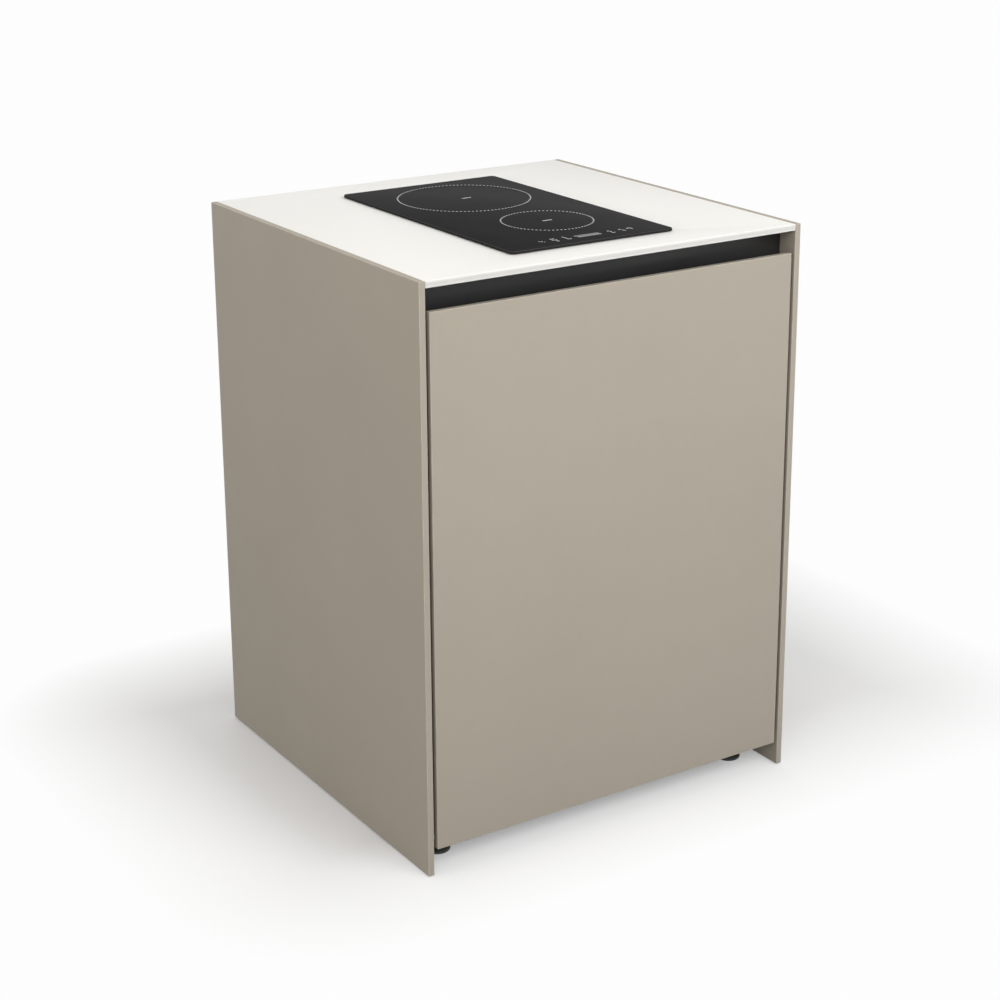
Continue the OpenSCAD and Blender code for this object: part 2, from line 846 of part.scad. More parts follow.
module hob_gasket() {
    color(anthracite) translate([0, hob_mid_y, unit_h]) linear_extrude(gasket_t) difference() {
        round_rect(cutout_w + 2 * gasket_w + 2 * cut, cutout_d + 2 * gasket_w + 2 * cut, glass_r);
        round_rect(cutout_w + 2 * cut, cutout_d + 2 * cut, cutout_r);
    }
}

module hob_tray() {
    wall = [tray_w - 2 * tray_t, tray_d - 2 * tray_t];
    rim = [wall[0] - 2 * tray_flange, wall[1] - 2 * tray_flange];
    color(light_grey) translate([0, hob_mid_y, 0]) difference() {
        translate([-tray_w / 2, -tray_d / 2, tray_z]) cube([tray_w, tray_d, tray_h]);
        translate([-wall[0] / 2, -wall[1] / 2, tray_floor_z]) cube([wall[0], wall[1], tray_h - 2 * tray_t]);
        translate([-rim[0] / 2, -rim[1] / 2, tray_floor_z]) cube([rim[0], rim[1], tray_h]);
        translate([0, -hob_mid_y, 0]) tray_air_slots();
    }
    color(light_grey) for (x = sides, y = sides)
        translate([board_centre[0] + x * (board_w / 2 - post_inset),
            board_centre[1] + y * (board_d / 2 - post_inset), tray_floor_z])
                cylinder(h = post_h, r = post_r);
}

// Inlet slots under the fan and outlet slots in the tray's rear wall
module tray_air_slots() {
    through = 4 * tray_t;
    inlet_y = front_centre[1] - (inlet_slots - 1) / 2 * inlet_pitch;
    outlet_left = -(outlet_slots - 1) / 2 * outlet_pitch;
    for (i = [0 : inlet_slots - 1]) translate([front_centre[0], inlet_y + i * inlet_pitch, tray_z])
        cube([inlet_l, air_slot, through], center = true);
    for (i = [0 : outlet_slots - 1])
        translate([outlet_left + i * outlet_pitch, hob_mid_y + tray_d / 2, tray_z + tray_h / 2])
            cube([air_slot, through, air_slot_h], center = true);
}

module hob_clamps() {
    top = top_under_z - body_gap;
    color(steel) for (y = [rear_centre[1], front_centre[1]]) both_sides() {
        board([tray_w / 2, y - clamp_w / 2, top - clamp_h], [tray_w / 2 + bracket_t, y + clamp_w / 2, top]);
        board([tray_w / 2, y - clamp_w / 2, top - bracket_t],
            [cutout_w / 2 + clamp_reach, y + clamp_w / 2, top]);
    }
}

// Hob: coils with their carriers, ferrite bars and sensors

module coil(centre, r) {
    turns = floor((r - coil_hole_r) / coil_pitch);
    groove = coil_pitch / 4;
    ridge = [for (i = [0 : turns - 1]) each [
        [r - i * coil_pitch, coil_t - groove],
        [r - (i + 0.5) * coil_pitch, coil_t]
    ]];
    inner_r = r - turns * coil_pitch;
    color(copper) translate([centre[0], centre[1], coil_z]) rotate_extrude()
        polygon(concat([[inner_r, 0], [r, 0]], ridge, [[inner_r, coil_t - groove]]));
}

module coil_carrier(centre, r, leg_circle) {
    color(light_grey) translate([centre[0], centre[1], 0]) {
        translate([0, 0, carrier_z]) cylinder(h = carrier_t, r = r + carrier_rim);
        for (a = [45 : 90 : 315]) rotate([0, 0, a]) translate([leg_circle, 0, tray_floor_z])
            cylinder(h = carrier_z - tray_floor_z, r = leg_r);
    }
}

module ferrite_star(centre, bar_out, count) {
    translate([centre[0], centre[1], ferrite_z]) for (i = [0 : count - 1]) rotate([0, 0, i * 360 / count])
        translate([coil_hole_r + ferrite_w, -ferrite_w / 2, 0])
            cube([bar_out - coil_hole_r - ferrite_w, ferrite_w, ferrite_t]);
}

module ferrite_bars() {
    color(anthracite) {
        ferrite_star(rear_centre, rear_bar_out, rear_bars);
        ferrite_star(front_centre, front_bar_out, front_bars);
    }
}

module coil_sensors() {
    color(white) for (centre = [rear_centre, front_centre])
        translate([centre[0], centre[1], coil_z]) cylinder(h = coil_t + coil_air - body_gap, r = sensor_r);
}

// Hob: electronics

// The board with a row of capacitors and a terminal block
module power_board() {
    part_x = board_centre[0] + board_w / 4;
    part_z = board_z + pcb_t;
    row_y = board_centre[1] - board_d / 2 + capacitor_pitch / 2;
    block_y = board_centre[1] + board_d / 2 - block_d;
    color("darkgreen") translate([board_centre[0] - board_w / 2, board_centre[1] - board_d / 2, board_z])
        cube([board_w, board_d, pcb_t]);
    color(anthracite) for (i = [0 : capacitors - 1])
        translate([part_x, row_y + i * capacitor_pitch, part_z])
            cylinder(h = capacitor_h, r = capacitor_r);
    color(anthracite) translate([part_x - block_w / 2, block_y, part_z])
        cube([block_w, block_d, capacitor_h]);
}

module heat_sink() {
    fin = sink_w / (2 * sink_fins - 1);
    color(steel) translate([board_centre[0] - board_w / 2 + sink_inset, board_centre[1] - sink_d / 2,
        board_z + pcb_t]) {
        cube([sink_w, sink_d, sink_base_t]);
        for (i = [0 : sink_fins - 1]) translate([2 * i * fin, 0, 0]) cube([fin, sink_d, sink_h]);
    }
}

module control_board() {
    under = glass_z - touch_drop;
    y = hob_front_y + touch_y;
    color("darkgreen") translate([-touch_w / 2, y - touch_d / 3, under - pcb_t])
        cube([touch_w, touch_d, pcb_t]);
    color(anthracite) translate([display_x - display_w / 2, y - display_d / 2, under])
        cube([display_w, display_d, touch_drop]);
    color(steel) for (x = touch_x) translate([x, y, under]) cylinder(h = touch_drop, r = touch_r);
}

module fan_housing() {
    color(black) translate([front_centre[0], front_centre[1], tray_floor_z]) {
        difference() {
            translate([-fan_size / 2, -fan_size / 2, 0]) cube([fan_size, fan_size, fan_h]);
            translate([0, 0, -cut]) cylinder(h = fan_h + 2 * cut, r = fan_r + fan_gap);
        }
        intersection() {
            cylinder(h = fan_strut, r = fan_r + 2 * fan_gap);
            union() {
                cylinder(h = fan_strut, r = hub_r);
                for (a = [45, 135]) rotate([0, 0, a]) translate([-fan_size, -fan_strut / 2, 0])
                    cube([2 * fan_size, fan_strut, fan_strut]);
            }
        }
        cylinder(h = fan_h - fan_gap, r = pin_r);
    }
}

module fan_rotor() {
    lift = fan_strut + body_gap;
    height = fan_h - lift - fan_gap;
    color(anthracite) translate([front_centre[0], front_centre[1], tray_floor_z + lift]) difference() {
        union() {
            cylinder(h = height, r = hub_r);
            intersection() {
                cylinder(h = height, r = fan_r);
                for (i = [0 : fan_blades - 1]) rotate([0, 0, i * 360 / fan_blades])
                    translate([hub_r - blade_t, 0, height / 2]) rotate([blade_pitch, 0, 0])
                        translate([0, -height, -blade_t / 2]) cube([fan_r, 2 * height, blade_t]);
            }
        }
        translate([0, 0, -cut]) cylinder(h = height + 2 * cut, r = pin_r + pin_gap);
    }
}

// The box on the tray's right wall; its gland points backwards
module terminal_box() {
    x = tray_w / 2;
    y = hob_mid_y + tray_d / 2 - gland_l;
    gland = [x + terminal_w / 2, y - terminal_d / 2, tray_z + terminal_lift + terminal_h / 2];
    color(black) difference() {
        union() {
            board([x, y - terminal_d, tray_z + terminal_lift],
                [x + terminal_w, y, tray_z + terminal_lift + terminal_h]);
            rod_y([gland[0], y, gland[2]], gland_l, gland_r + gland_wall);
        }
        rod_y(gland, terminal_d / 2 + gland_l + cut, gland_r);
    }
}

// Heat shield between the hob and the inner drawer

module heat_shield() {
    color(steel) {
        board([-carcass_in_x, shield_front_y, shield_z - shield_t], [carcass_in_x, shield_back_y, shield_z]);
        both_sides() board([carcass_in_x - shield_t, shield_front_y, shield_z - shield_flange],
            [carcass_in_x, shield_back_y, shield_z]);
    }
}

cover_left();
cover_right();
worktop();
carcass_side_left();
carcass_side_right();
carcass_base();
back_panel();
front_rail();
rear_rail();
grip_channel();
worktop_brackets();
worktop_screws();
cover_screws();
carcass_dowels();
foot_sockets();
heat_shield();
cable_grommet();
cabinet_rail(LEFT, lower_runner_z);  // lower_cabinet_rail_left
cabinet_rail(RIGHT, lower_runner_z);  // lower_cabinet_rail_right
cabinet_rail(LEFT, upper_runner_z);  // upper_cabinet_rail_left
cabinet_rail(RIGHT, upper_runner_z);  // upper_cabinet_rail_right
hob_glass();
hob_gasket();
hob_tray();
coil(rear_centre, rear_coil_r);  // rear_coil
coil(front_centre, front_coil_r);  // front_coil
coil_carrier(rear_centre, rear_coil_r, rear_leg_r);  // rear_coil_carrier
coil_carrier(front_centre, front_coil_r, front_leg_r);  // front_coil_carrier
ferrite_bars();
coil_sensors();
power_board();
heat_sink();
control_board();
fan_housing();
hob_clamps();
terminal_box();
fan_rotor();
foot(LEFT, -1);  // foot_front_left
foot(RIGHT, -1);  // foot_front_right
foot(LEFT, 1);  // foot_rear_left
foot(RIGHT, 1);  // foot_rear_right
middle_rail(LEFT, lower_runner_z);  // lower_middle_rail_left
middle_rail(RIGHT, lower_runner_z);  // lower_middle_rail_right
middle_rail(LEFT, upper_runner_z);  // upper_middle_rail_left
middle_rail(RIGHT, upper_runner_z);  // upper_middle_rail_right
front_panel();
front_brackets();
front_bumpers();
deep_drawer_side(LEFT);  // deep_drawer_side_left
deep_drawer_side(RIGHT);  // deep_drawer_side_right
deep_drawer_back();
deep_drawer_base();
gallery_rails();
drawer_rails(lower_runner_z);  // lower_drawer_rails
inner_drawer_side(LEFT);  // inner_drawer_side_left
inner_drawer_side(RIGHT);  // inner_drawer_side_right
inner_drawer_front();
inner_drawer_back();
inner_drawer_base();
drawer_rails(upper_runner_z);  // upper_drawer_rails
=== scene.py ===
"""Looks of a free-standing mini kitchen unit: its finishes, detailed pieces, studio light and camera."""

import functools
import itertools
import json
import logging
import math
from collections.abc import Sequence
from dataclasses import dataclass, replace
from enum import Enum
from typing import Any

import bmesh
import bpy
from mathutils import Matrix, Vector

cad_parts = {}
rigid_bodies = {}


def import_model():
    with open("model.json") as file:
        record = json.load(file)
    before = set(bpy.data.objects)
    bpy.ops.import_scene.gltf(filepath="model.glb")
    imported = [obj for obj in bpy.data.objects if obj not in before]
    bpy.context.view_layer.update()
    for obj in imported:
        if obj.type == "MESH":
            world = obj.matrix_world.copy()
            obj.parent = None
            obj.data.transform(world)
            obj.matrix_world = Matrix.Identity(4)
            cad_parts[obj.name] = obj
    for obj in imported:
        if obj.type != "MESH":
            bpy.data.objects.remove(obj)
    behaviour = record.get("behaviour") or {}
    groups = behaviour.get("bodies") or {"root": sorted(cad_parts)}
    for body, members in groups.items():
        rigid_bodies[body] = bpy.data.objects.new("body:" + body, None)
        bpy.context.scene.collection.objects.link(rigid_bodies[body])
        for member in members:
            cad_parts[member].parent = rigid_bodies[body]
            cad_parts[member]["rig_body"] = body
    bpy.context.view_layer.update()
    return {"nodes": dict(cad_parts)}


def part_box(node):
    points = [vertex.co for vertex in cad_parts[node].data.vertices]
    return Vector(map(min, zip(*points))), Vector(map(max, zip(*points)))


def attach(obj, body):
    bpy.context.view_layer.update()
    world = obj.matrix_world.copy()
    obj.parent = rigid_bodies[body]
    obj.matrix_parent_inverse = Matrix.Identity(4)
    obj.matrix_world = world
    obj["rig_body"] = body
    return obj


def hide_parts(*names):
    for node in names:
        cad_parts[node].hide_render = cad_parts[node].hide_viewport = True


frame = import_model()

LOG = logging.getLogger("mini_kitchen")
MM = 0.001
WELD = 1e-6
ORIGIN = (0.0, 0.0, 0.0)
WHITE = (1.0, 1.0, 1.0, 1.0)
WARM = (1.0, 0.962, 0.915)
# Nearly all values of a noise lie between these two
NOISE = (0.3, 0.7)
# The unit's two sides, as factors on X
SIDES = ((-1, "left"), (1, "right"))

Colour = tuple[float, float, float]
Point2 = tuple[float, float]
BMesh = bmesh.types.BMesh
Mesh = bpy.types.Mesh
Piece = bpy.types.Object
Socket = bpy.types.NodeSocket


def paint(red: int, green: int, blue: int) -> Colour:
    """Turns a paint-chart colour of 0 to 255 into the linear values that a shader takes."""
    shares = [channel / 255 for channel in (red, green, blue)]
    return tuple(s / 12.92 if s <= 0.04045 else ((s + 0.055) / 1.055) ** 2.4 for s in shares)


class Graph:
    """Adds nodes to a node tree and joins their sockets."""

    def __init__(self, tree: bpy.types.NodeTree) -> None:
        """Keeps the tree that the nodes go into."""
        self.tree = tree

    def feed(self, socket: Socket, value: Any) -> None:
        """Gives an input its value, or joins it to another node's output.

        Args:
            socket: The input.
            value: A number, a vector, a colour of three values, an object or an output socket.
        """
        if isinstance(value, Socket):
            self.tree.links.new(value, socket)
        elif socket.type == "RGBA" and len(value) == 3:
            socket.default_value = (*value, 1.0)
        else:
            socket.default_value = value

    def add(self, kind: str, inputs: dict[str | int, Any] | None = None, **settings: Any) -> bpy.types.Node:
        """Adds a node.

        Args:
            kind: Blender's name for the type of node.
            inputs: Values or output sockets for the node's inputs, by name or place.
            settings: Properties of the node.

        Returns:
            The new node.
        """
        node = self.tree.nodes.new(kind)
        for key, value in settings.items():
            setattr(node, key, value)
        for key, value in (inputs or {}).items():
            self.feed(node.inputs[key], value)
        return node

    def math(self, operation: str, *values: Any) -> Socket:
        """Joins numbers or sockets with a Math node."""
        return self.add("ShaderNodeMath", dict(enumerate(values)), operation=operation).outputs[0]

    def chain(self, operation: str, *values: Any) -> Socket:
        """Joins any count of numbers or sockets with Math nodes, one after the other."""
        return functools.reduce(functools.partial(self.math, operation), values)

    def vector_math(self, operation: str, *values: Any) -> bpy.types.Node:
        """Joins vectors or sockets with a Vector Math node."""
        return self.add("ShaderNodeVectorMath", dict(enumerate(values)), operation=operation)

    def spread(self, value: Any, low: float, high: float, to_low: float, to_high: float) -> Socket:
        """Maps a value from one range to another and clamps it."""
        return self.add("ShaderNodeMapRange", dict(enumerate((value, low, high, to_low, to_high)))).outputs[0]

    def swing(self, noise: Socket) -> Socket:
        """Turns noise into a swing between minus one and one."""
        return self.math("SUBTRACT", self.spread(noise, *NOISE, 0.0, 2.0), 1.0)

    def mix(self, share: Any, first: Any, second: Any) -> Socket:
        """Mixes two colours by the share of the second."""
        return self.add("ShaderNodeMix", {0: share, 6: first, 7: second}, data_type="RGBA").outputs[2]

    def shade(self, value: Any, colour: Any) -> Socket:
        """Multiplies the brightness of a colour."""
        return self.add("ShaderNodeHueSaturation", {"Value": value, "Color": colour}).outputs[0]

    def place(self) -> Socket:
        """Gives the place on the piece."""
        return self.add("ShaderNodeTexCoord").outputs["Object"]

    def edge(self) -> Socket:
        """Gives the mark that eased edges carry."""
        return self.add("ShaderNodeAttribute", attribute_name="edge").outputs["Fac"]

    def upward(self) -> Socket:
        """Gives the upward share of the surface's direction."""
        normal = self.add("ShaderNodeNewGeometry").outputs["Normal"]
        return self.add("ShaderNodeSeparateXYZ", {0: normal}).outputs[2]

    def noise(self, scale: Any, detail: float = 2.0, stretch: Sequence[float] | None = None) -> Socket:
        """Adds noise that is fixed to the piece.

        Args:
            scale: Cells per metre.
            detail: Octaves of the noise.
            stretch: Factors on the three axes, or none.

        Returns:
            The noise value's socket.
        """
        place = self.place()
        if stretch is not None:
            place = self.add("ShaderNodeMapping", {"Vector": place, "Scale": stretch}).outputs[0]
        return self.add("ShaderNodeTexNoise", {"Vector": place, "Scale": scale, "Detail": detail}).outputs[0]

    def cells(self, scale: Any) -> bpy.types.Node:
        """Adds a pattern of cells that is fixed to the piece."""
        return self.add("ShaderNodeTexVoronoi", {"Vector": self.place(), "Scale": scale})

    def drawn(self, cells: bpy.types.Node) -> Socket:
        """Gives the value that each cell of a pattern has drawn."""
        return self.add("ShaderNodeSeparateColor", {0: cells.outputs["Color"]}).outputs[0]


class OpenTree(Graph):
    """A node tree with named inputs and one output."""

    def __init__(self, name: str, kind: str, inputs: dict[str, Any]) -> None:
        """Starts the tree.

        Args:
            name: Name of the tree.
            kind: Blender's name for the type of tree.
            inputs: Default of each input, by label with underscores for spaces, or its kind in words where it has
                no default.
        """
        super().__init__(bpy.data.node_groups.new(name, kind))
        self.identifiers: dict[str, str] = {}
        kinds = {float: "Float", int: "Int"}
        for key, default in inputs.items():
            label = key.replace("_", " ")
            bare = isinstance(default, str)
            held = default if bare else kinds.get(type(default)) or ("Color" if len(default) == 4 else "Vector")
            socket = self.tree.interface.new_socket(label, in_out="INPUT", socket_type=f"NodeSocket{held}")
            if not bare:
                socket.default_value = default
            self.identifiers[label] = socket.identifier
        self.given = self.add("NodeGroupInput")

    def __getitem__(self, label: str) -> Socket:
        """Gives the socket of a named input."""
        return self.given.outputs[label]

    def close(self, result: Socket, kind: str, label: str = "") -> None:
        """Ends the tree with an output, which has its kind as its name where it has no label."""
        self.tree.interface.new_socket(label or kind, in_out="OUTPUT", socket_type=f"NodeSocket{kind}")
        self.add("NodeGroupOutput", {label or kind: result})


class Effect(OpenTree):
    """A shader node group that the finishes share."""

    def __init__(self, name: str, **inputs: Any) -> None:
        """Starts the group with the defaults of its inputs."""
        super().__init__(name, "ShaderNodeTree", inputs)

    def cover(self, label: str, *shares: Any) -> "Effect":
        """Ends the group: lays a colour over the one that comes in, by the product of some shares.

        Args:
            label: Input with the covering colour.
            shares: Numbers or sockets.

        Returns:
            The group itself.
        """
        self.close(self.mix(self.chain("MULTIPLY", *shares), self["Color"], self[label]), "Color")
        return self

    def use(self, graph: Graph, **inputs: Any) -> Socket:
        """Adds the group to a material's graph and gives its output."""
        labels = {label.replace("_", " "): value for label, value in inputs.items()}
        return graph.add("ShaderNodeGroup", labels, node_tree=self.tree).outputs[0]


@functools.cache
def tone_drift() -> Effect:
    """Builds the effect that lets a colour drift in wide soft clouds and fine flecks.

    Returns:
        The effect.
    """
    group = Effect("tone_drift", Color=WHITE, Amount=0.03, Scale=4.0)
    wide = group.noise(group["Scale"])
    fine = group.noise(group.math("MULTIPLY", group["Scale"], 14.0), 3.0)
    both = group.math("ADD", group.math("MULTIPLY", wide, 0.7), group.math("MULTIPLY", fine, 0.3))
    value = group.math("ADD", group.math("MULTIPLY", group.swing(both), group["Amount"]), 1.0)
    group.close(group.shade(value, group["Color"]), "Color")
    return group


@functools.cache
def edge_wear_and_highlight() -> Effect:
    """Builds the effect that wears a finish along its eased edges, more in some places than others.

    Returns:
        The effect.
    """
    group = Effect("edge_wear_and_highlight", Color=WHITE, Worn_Color=WHITE, Amount=0.5)
    return group.cover("Worn Color", group.edge(), group.spread(group.noise(35.0, 4.0), 0.35, 0.65, 0.35, 1.0),
                       group["Amount"])


@functools.cache
def specks() -> Effect:
    """Builds the effect that strews small specks of another colour.

    Returns:
        The effect.
    """
    group = Effect("specks", Color=WHITE, Speck_Color=WHITE, Scale=400.0, Share=0.2, Strength=0.5)
    cells = group.cells(group["Scale"])
    chosen = group.math("LESS_THAN", group.drawn(cells), group["Share"])
    core = group.spread(cells.outputs["Distance"], 0.15, 0.35, 1.0, 0.0)
    return group.cover("Speck Color", chosen, core, group["Strength"])


@functools.cache
def dust_film() -> Effect:
    """Builds the effect that lays a thin film of dust on faces that look up.

    Returns:
        The effect.
    """
    group = Effect("dust", Color=WHITE, Dust_Color=(0.5, 0.48, 0.44, 1.0), Amount=0.1)
    level = group.spread(group.upward(), 0.6, 0.95, 0.0, 1.0)
    patches = group.spread(group.noise(18.0, 5.0), *NOISE, 0.3, 1.0)
    return group.cover("Dust Color", level, patches, group["Amount"])


@functools.cache
def uneven_sheen() -> Effect:
    """Builds the effect that lets a roughness vary with faint wiping marks.

    Returns:
        The effect.
    """
    group = Effect("uneven_sheen", Roughness=0.5, Amount=0.05, Scale=9.0)
    change = group.math("MULTIPLY", group.swing(group.noise(group["Scale"], 5.0)), group["Amount"])
    group.close(group.math("ADD", group["Roughness"], change), "Float", "Roughness")
    return group


class Grain(Enum):
    """Kinds of fine relief."""

    PEBBLED = "pebbled"
    BRUSHED_X = "brushed along X"
    BRUSHED_Y = "brushed along Y"
    CELLS = "foam cells"
    FIBRES = "wood fibres along X"


STRETCH = {
    Grain.BRUSHED_X: (0.02, 1.0, 1.0),
    Grain.BRUSHED_Y: (1.0, 0.02, 1.0),
    Grain.FIBRES: (0.05, 1.0, 1.0),
}


@dataclass(frozen=True)
class Finish:
    """A surface finish that varies over the surface as the real one does. Lengths are in metres."""

    slot: str
    colour: Colour
    roughness: float
    metallic: float = 0.0
    specular: float = 0.5
    tone: float = 0.03
    tone_scale: float = 4.0
    sheen: float = 0.05
    grain: Grain = Grain.PEBBLED
    grain_scale: float = 900.0
    grain_height: float = 0.00003
    speck: Colour | None = None
    speck_scale: float = 500.0
    speck_share: float = 0.2
    # Lighter colour of the eased edges and how much of it: rubbed edges on most finishes, a painted highlight on the
    # taupe and the worktop
    wear_and_highlight_colour: Colour | None = None
    wear_and_highlight: float = 0.5
    dust: float = 0.0
    coat: float = 0.0
    coat_roughness: float = 0.1
    label: str = ""

    def tint(self, graph: Graph) -> Socket:
        """Builds the colour from the shared effects.

        Args:
            graph: Graph of the material.

        Returns:
            The colour's socket.
        """
        colour = tone_drift().use(graph, Color=self.colour, Amount=self.tone, Scale=self.tone_scale)
        if self.speck is not None:
            colour = specks().use(graph, Color=colour, Speck_Color=self.speck, Scale=self.speck_scale,
                                  Share=self.speck_share)
        if self.wear_and_highlight_colour is not None:
            colour = edge_wear_and_highlight().use(graph, Color=colour, Worn_Color=self.wear_and_highlight_colour, Amount=self.wear_and_highlight)
        if self.dust > 0:
            colour = dust_film().use(graph, Color=colour, Amount=self.dust)
        return colour

    def relief(self, graph: Graph) -> Socket:
        """Builds the height of the fine relief.

        Args:
            graph: Graph of the material.

        Returns:
            The height's socket.
        """
        if self.grain is Grain.CELLS:
            return graph.cells(self.grain_scale).outputs["Distance"]
        return graph.noise(self.grain_scale, 4.0, STRETCH.get(self.grain))

    @functools.cache
    def material(self) -> bpy.types.Material:
        """Gives the finish's material, and builds it the first time.

        Returns:
            The material.
        """
        material = bpy.data.materials.new(f"finish_{self.label or self.slot}")
        material.use_nodes = True
        graph = Graph(material.node_tree)
        shader = material.node_tree.nodes["Principled BSDF"]
        bump = graph.add("ShaderNodeBump", {"Distance": self.grain_height, "Height": self.relief(graph)})
        values = {
            "Base Color": self.tint(graph), "Normal": bump.outputs[0], "Metallic": self.metallic,
            "Roughness": uneven_sheen().use(graph, Roughness=self.roughness, Amount=self.sheen),
            "Specular IOR Level": self.specular, "Coat Weight": self.coat, "Coat Roughness": self.coat_roughness,
        }
        for key, value in values.items():
            graph.feed(shader.inputs[key], value)
        return material


@dataclass(frozen=True)
class Galvanised(Finish):
    """Zinc-coated sheet with its spangle of flat crystals."""

    spangle_scale: float = 90.0
    spangle: float = 0.12

    def tint(self, graph: Graph) -> Socket:
        """Adds the spangle to the plain colour."""
        value = graph.spread(graph.drawn(graph.cells(self.spangle_scale)), 0.0, 1.0, 1.0 - self.spangle, 1.0)
        return graph.shade(value, super().tint(graph))


@dataclass(frozen=True)
class CeramicGlass(Finish):
    """Black glass ceramic: dark and smooth, with a ground edge."""

    ground: Colour = paint(64, 64, 64)

    def tint(self, graph: Graph) -> Socket:
        """Lightens the ground edge of the dark plate."""
        frost = graph.math("MULTIPLY", graph.edge(), graph.spread(graph.noise(700.0, 3.0), *NOISE, 0.75, 1.0))
        return graph.mix(frost, super().tint(graph), self.ground)


@dataclass(frozen=True)
class UprightShaded(Finish):
    """A board whose upright faces are covered by a band of another tint."""

    # Darker tint of the upright faces: painted shade
    upright_shade: Colour = (0.68, 0.67, 0.645)

    def tint(self, graph: Graph) -> Socket:
        """Gives the upright faces the band's colour."""
        upright = graph.spread(graph.math("ABSOLUTE", graph.upward()), 0.02, 0.2, 1.0, 0.0)
        return graph.mix(upright, super().tint(graph), self.upright_shade)


@dataclass(frozen=True)
class Timber(Finish):
    """Wood with growth rings that show as long streaks."""

    streak: Colour = paint(176, 138, 92)

    def tint(self, graph: Graph) -> Socket:
        """Lays darker streaks over the wood's plain colour."""
        streaks = graph.spread(graph.noise(260.0, 4.0, STRETCH[Grain.FIBRES]), 0.45, 0.65, 0.0, 0.8)
        return graph.mix(streaks, super().tint(graph), self.streak)


@dataclass(frozen=True)
class Winding(Finish):
    """A coil of twisted enamelled wires: the strands show as fine slanting bands."""

    def tint(self, graph: Graph) -> Socket:
        """Shades the gaps between the strands."""
        return graph.shade(graph.spread(self.relief(graph), 0.3, 0.6, 0.55, 1.0), super().tint(graph))


# The taupe's lighter eased edges are a painted highlight, the light that the rounded edges catch
TAUPE = Finish("taupe_laminate", paint(173, 165, 152), 0.56, specular=0.15, tone=0.02, tone_scale=3.2,
               grain_scale=1400.0, speck=paint(150, 142, 129), speck_scale=900.0, speck_share=0.25,
               wear_and_highlight_colour=paint(206, 199, 188), wear_and_highlight=0.6)
TAUPE_BACK = Finish("taupe_laminate", paint(166, 158, 145), 0.6, specular=0.3, tone_scale=5.0,
                    grain_scale=1200.0, wear_and_highlight_colour=paint(186, 178, 166), wear_and_highlight=0.4, label="taupe_back")
# The darker tint of the worktop's upright faces is painted shade
WORKTOP_WHITE = UprightShaded("white_worktop", (0.9, 0.888, 0.85), 0.5, specular=0.3, tone=0.008, tone_scale=2.6,
                           sheen=0.04, grain_scale=2200.0, grain_height=0.000015, speck=(0.8, 0.79, 0.77),
                           # The worktop's lighter eased edges are a painted highlight along its front edge
                           speck_scale=1100.0, wear_and_highlight_colour=(0.93, 0.92, 0.885), wear_and_highlight=0.9, dust=0.01)
# Dark board colour, darkened further so that the gaps beside the front look shaded: partly the board's own colour,
# partly painted shade
CARCASS = Finish("carcass_board", paint(38, 35, 31), 0.55, specular=0.3, tone=0.06, grain_scale=1500.0,
                 speck=paint(54, 50, 44), speck_scale=700.0, wear_and_highlight_colour=paint(66, 61, 54), wear_and_highlight=0.3, dust=0.03)
CHANNEL = Finish("grip_black", (0.022, 0.022, 0.0222), 0.36, tone=0.08, tone_scale=9.0, sheen=0.03,
                 grain=Grain.BRUSHED_X, grain_scale=1800.0, grain_height=0.000012,
                 wear_and_highlight_colour=(0.05, 0.05, 0.05), wear_and_highlight=0.4, dust=0.01)
GLASS = CeramicGlass("ceramic_glass", (0.016, 0.016, 0.0165), 0.3, specular=0.0, tone=0.04, sheen=0.03,
                     grain_scale=30.0, grain_height=0.000004, coat=0.07, coat_roughness=0.03, dust=0.012)
INK = Finish("ceramic_glass", paint(208, 208, 206), 0.5, specular=0.3, grain_scale=3000.0, label="printed_marks")
INK_SOFT = replace(INK, colour=paint(182, 182, 180), label="printed_controls")
INK_DIM = replace(INK, colour=paint(130, 131, 132), label="printed_bar")
ZINC = Finish("zinc_steel", paint(190, 192, 193), 0.32, metallic=1.0, tone=0.05, sheen=0.08,
              grain=Grain.BRUSHED_Y, grain_scale=1500.0, grain_height=0.00001, wear_and_highlight_colour=paint(215, 216, 217), wear_and_highlight=0.6)
SHEET = Galvanised("tray_steel", paint(176, 179, 181), 0.4, metallic=1.0, tone=0.04, sheen=0.1,
                   grain_scale=700.0, grain_height=0.00001, wear_and_highlight_colour=paint(208, 210, 211), dust=0.04)
DRAWER = Finish("drawer_grey", paint(206, 207, 206), 0.42, tone=0.012, grain_scale=2400.0,
                grain_height=0.000035, wear_and_highlight_colour=paint(222, 222, 220), wear_and_highlight=0.4)
DRAWER_BOARD = Finish("drawer_board", paint(198, 199, 198), 0.5, specular=0.4, tone=0.02, grain=Grain.BRUSHED_Y,
                      grain_height=0.00004, speck=paint(176, 177, 176), speck_scale=600.0)
BLACK_PLASTIC = Finish("black_plastic", (0.018, 0.018, 0.018), 0.45, tone=0.06, sheen=0.07,
                       grain_scale=2600.0, grain_height=0.00005, wear_and_highlight_colour=(0.06, 0.06, 0.06), wear_and_highlight=0.6, dust=0.05)
BUMPER = Finish("clear_bumper", paint(214, 216, 216), 0.25, tone=0.02, coat=0.3)
FOAM = Finish("foam_gasket", (0.03, 0.03, 0.031), 0.9, specular=0.2, tone=0.1, grain=Grain.CELLS,
              grain_scale=1500.0, grain_height=0.0003)
COPPER = Winding("copper_coil", paint(196, 118, 74), 0.35, metallic=0.8, tone=0.05, grain=Grain.BRUSHED_X,
                 grain_scale=1400.0, grain_height=0.0003, coat=0.4)
FERRITE = Finish("ferrite", paint(58, 56, 56), 0.5, tone=0.08, grain_scale=1800.0, grain_height=0.00006,
                 speck=paint(92, 90, 88), wear_and_highlight_colour=paint(104, 102, 100))
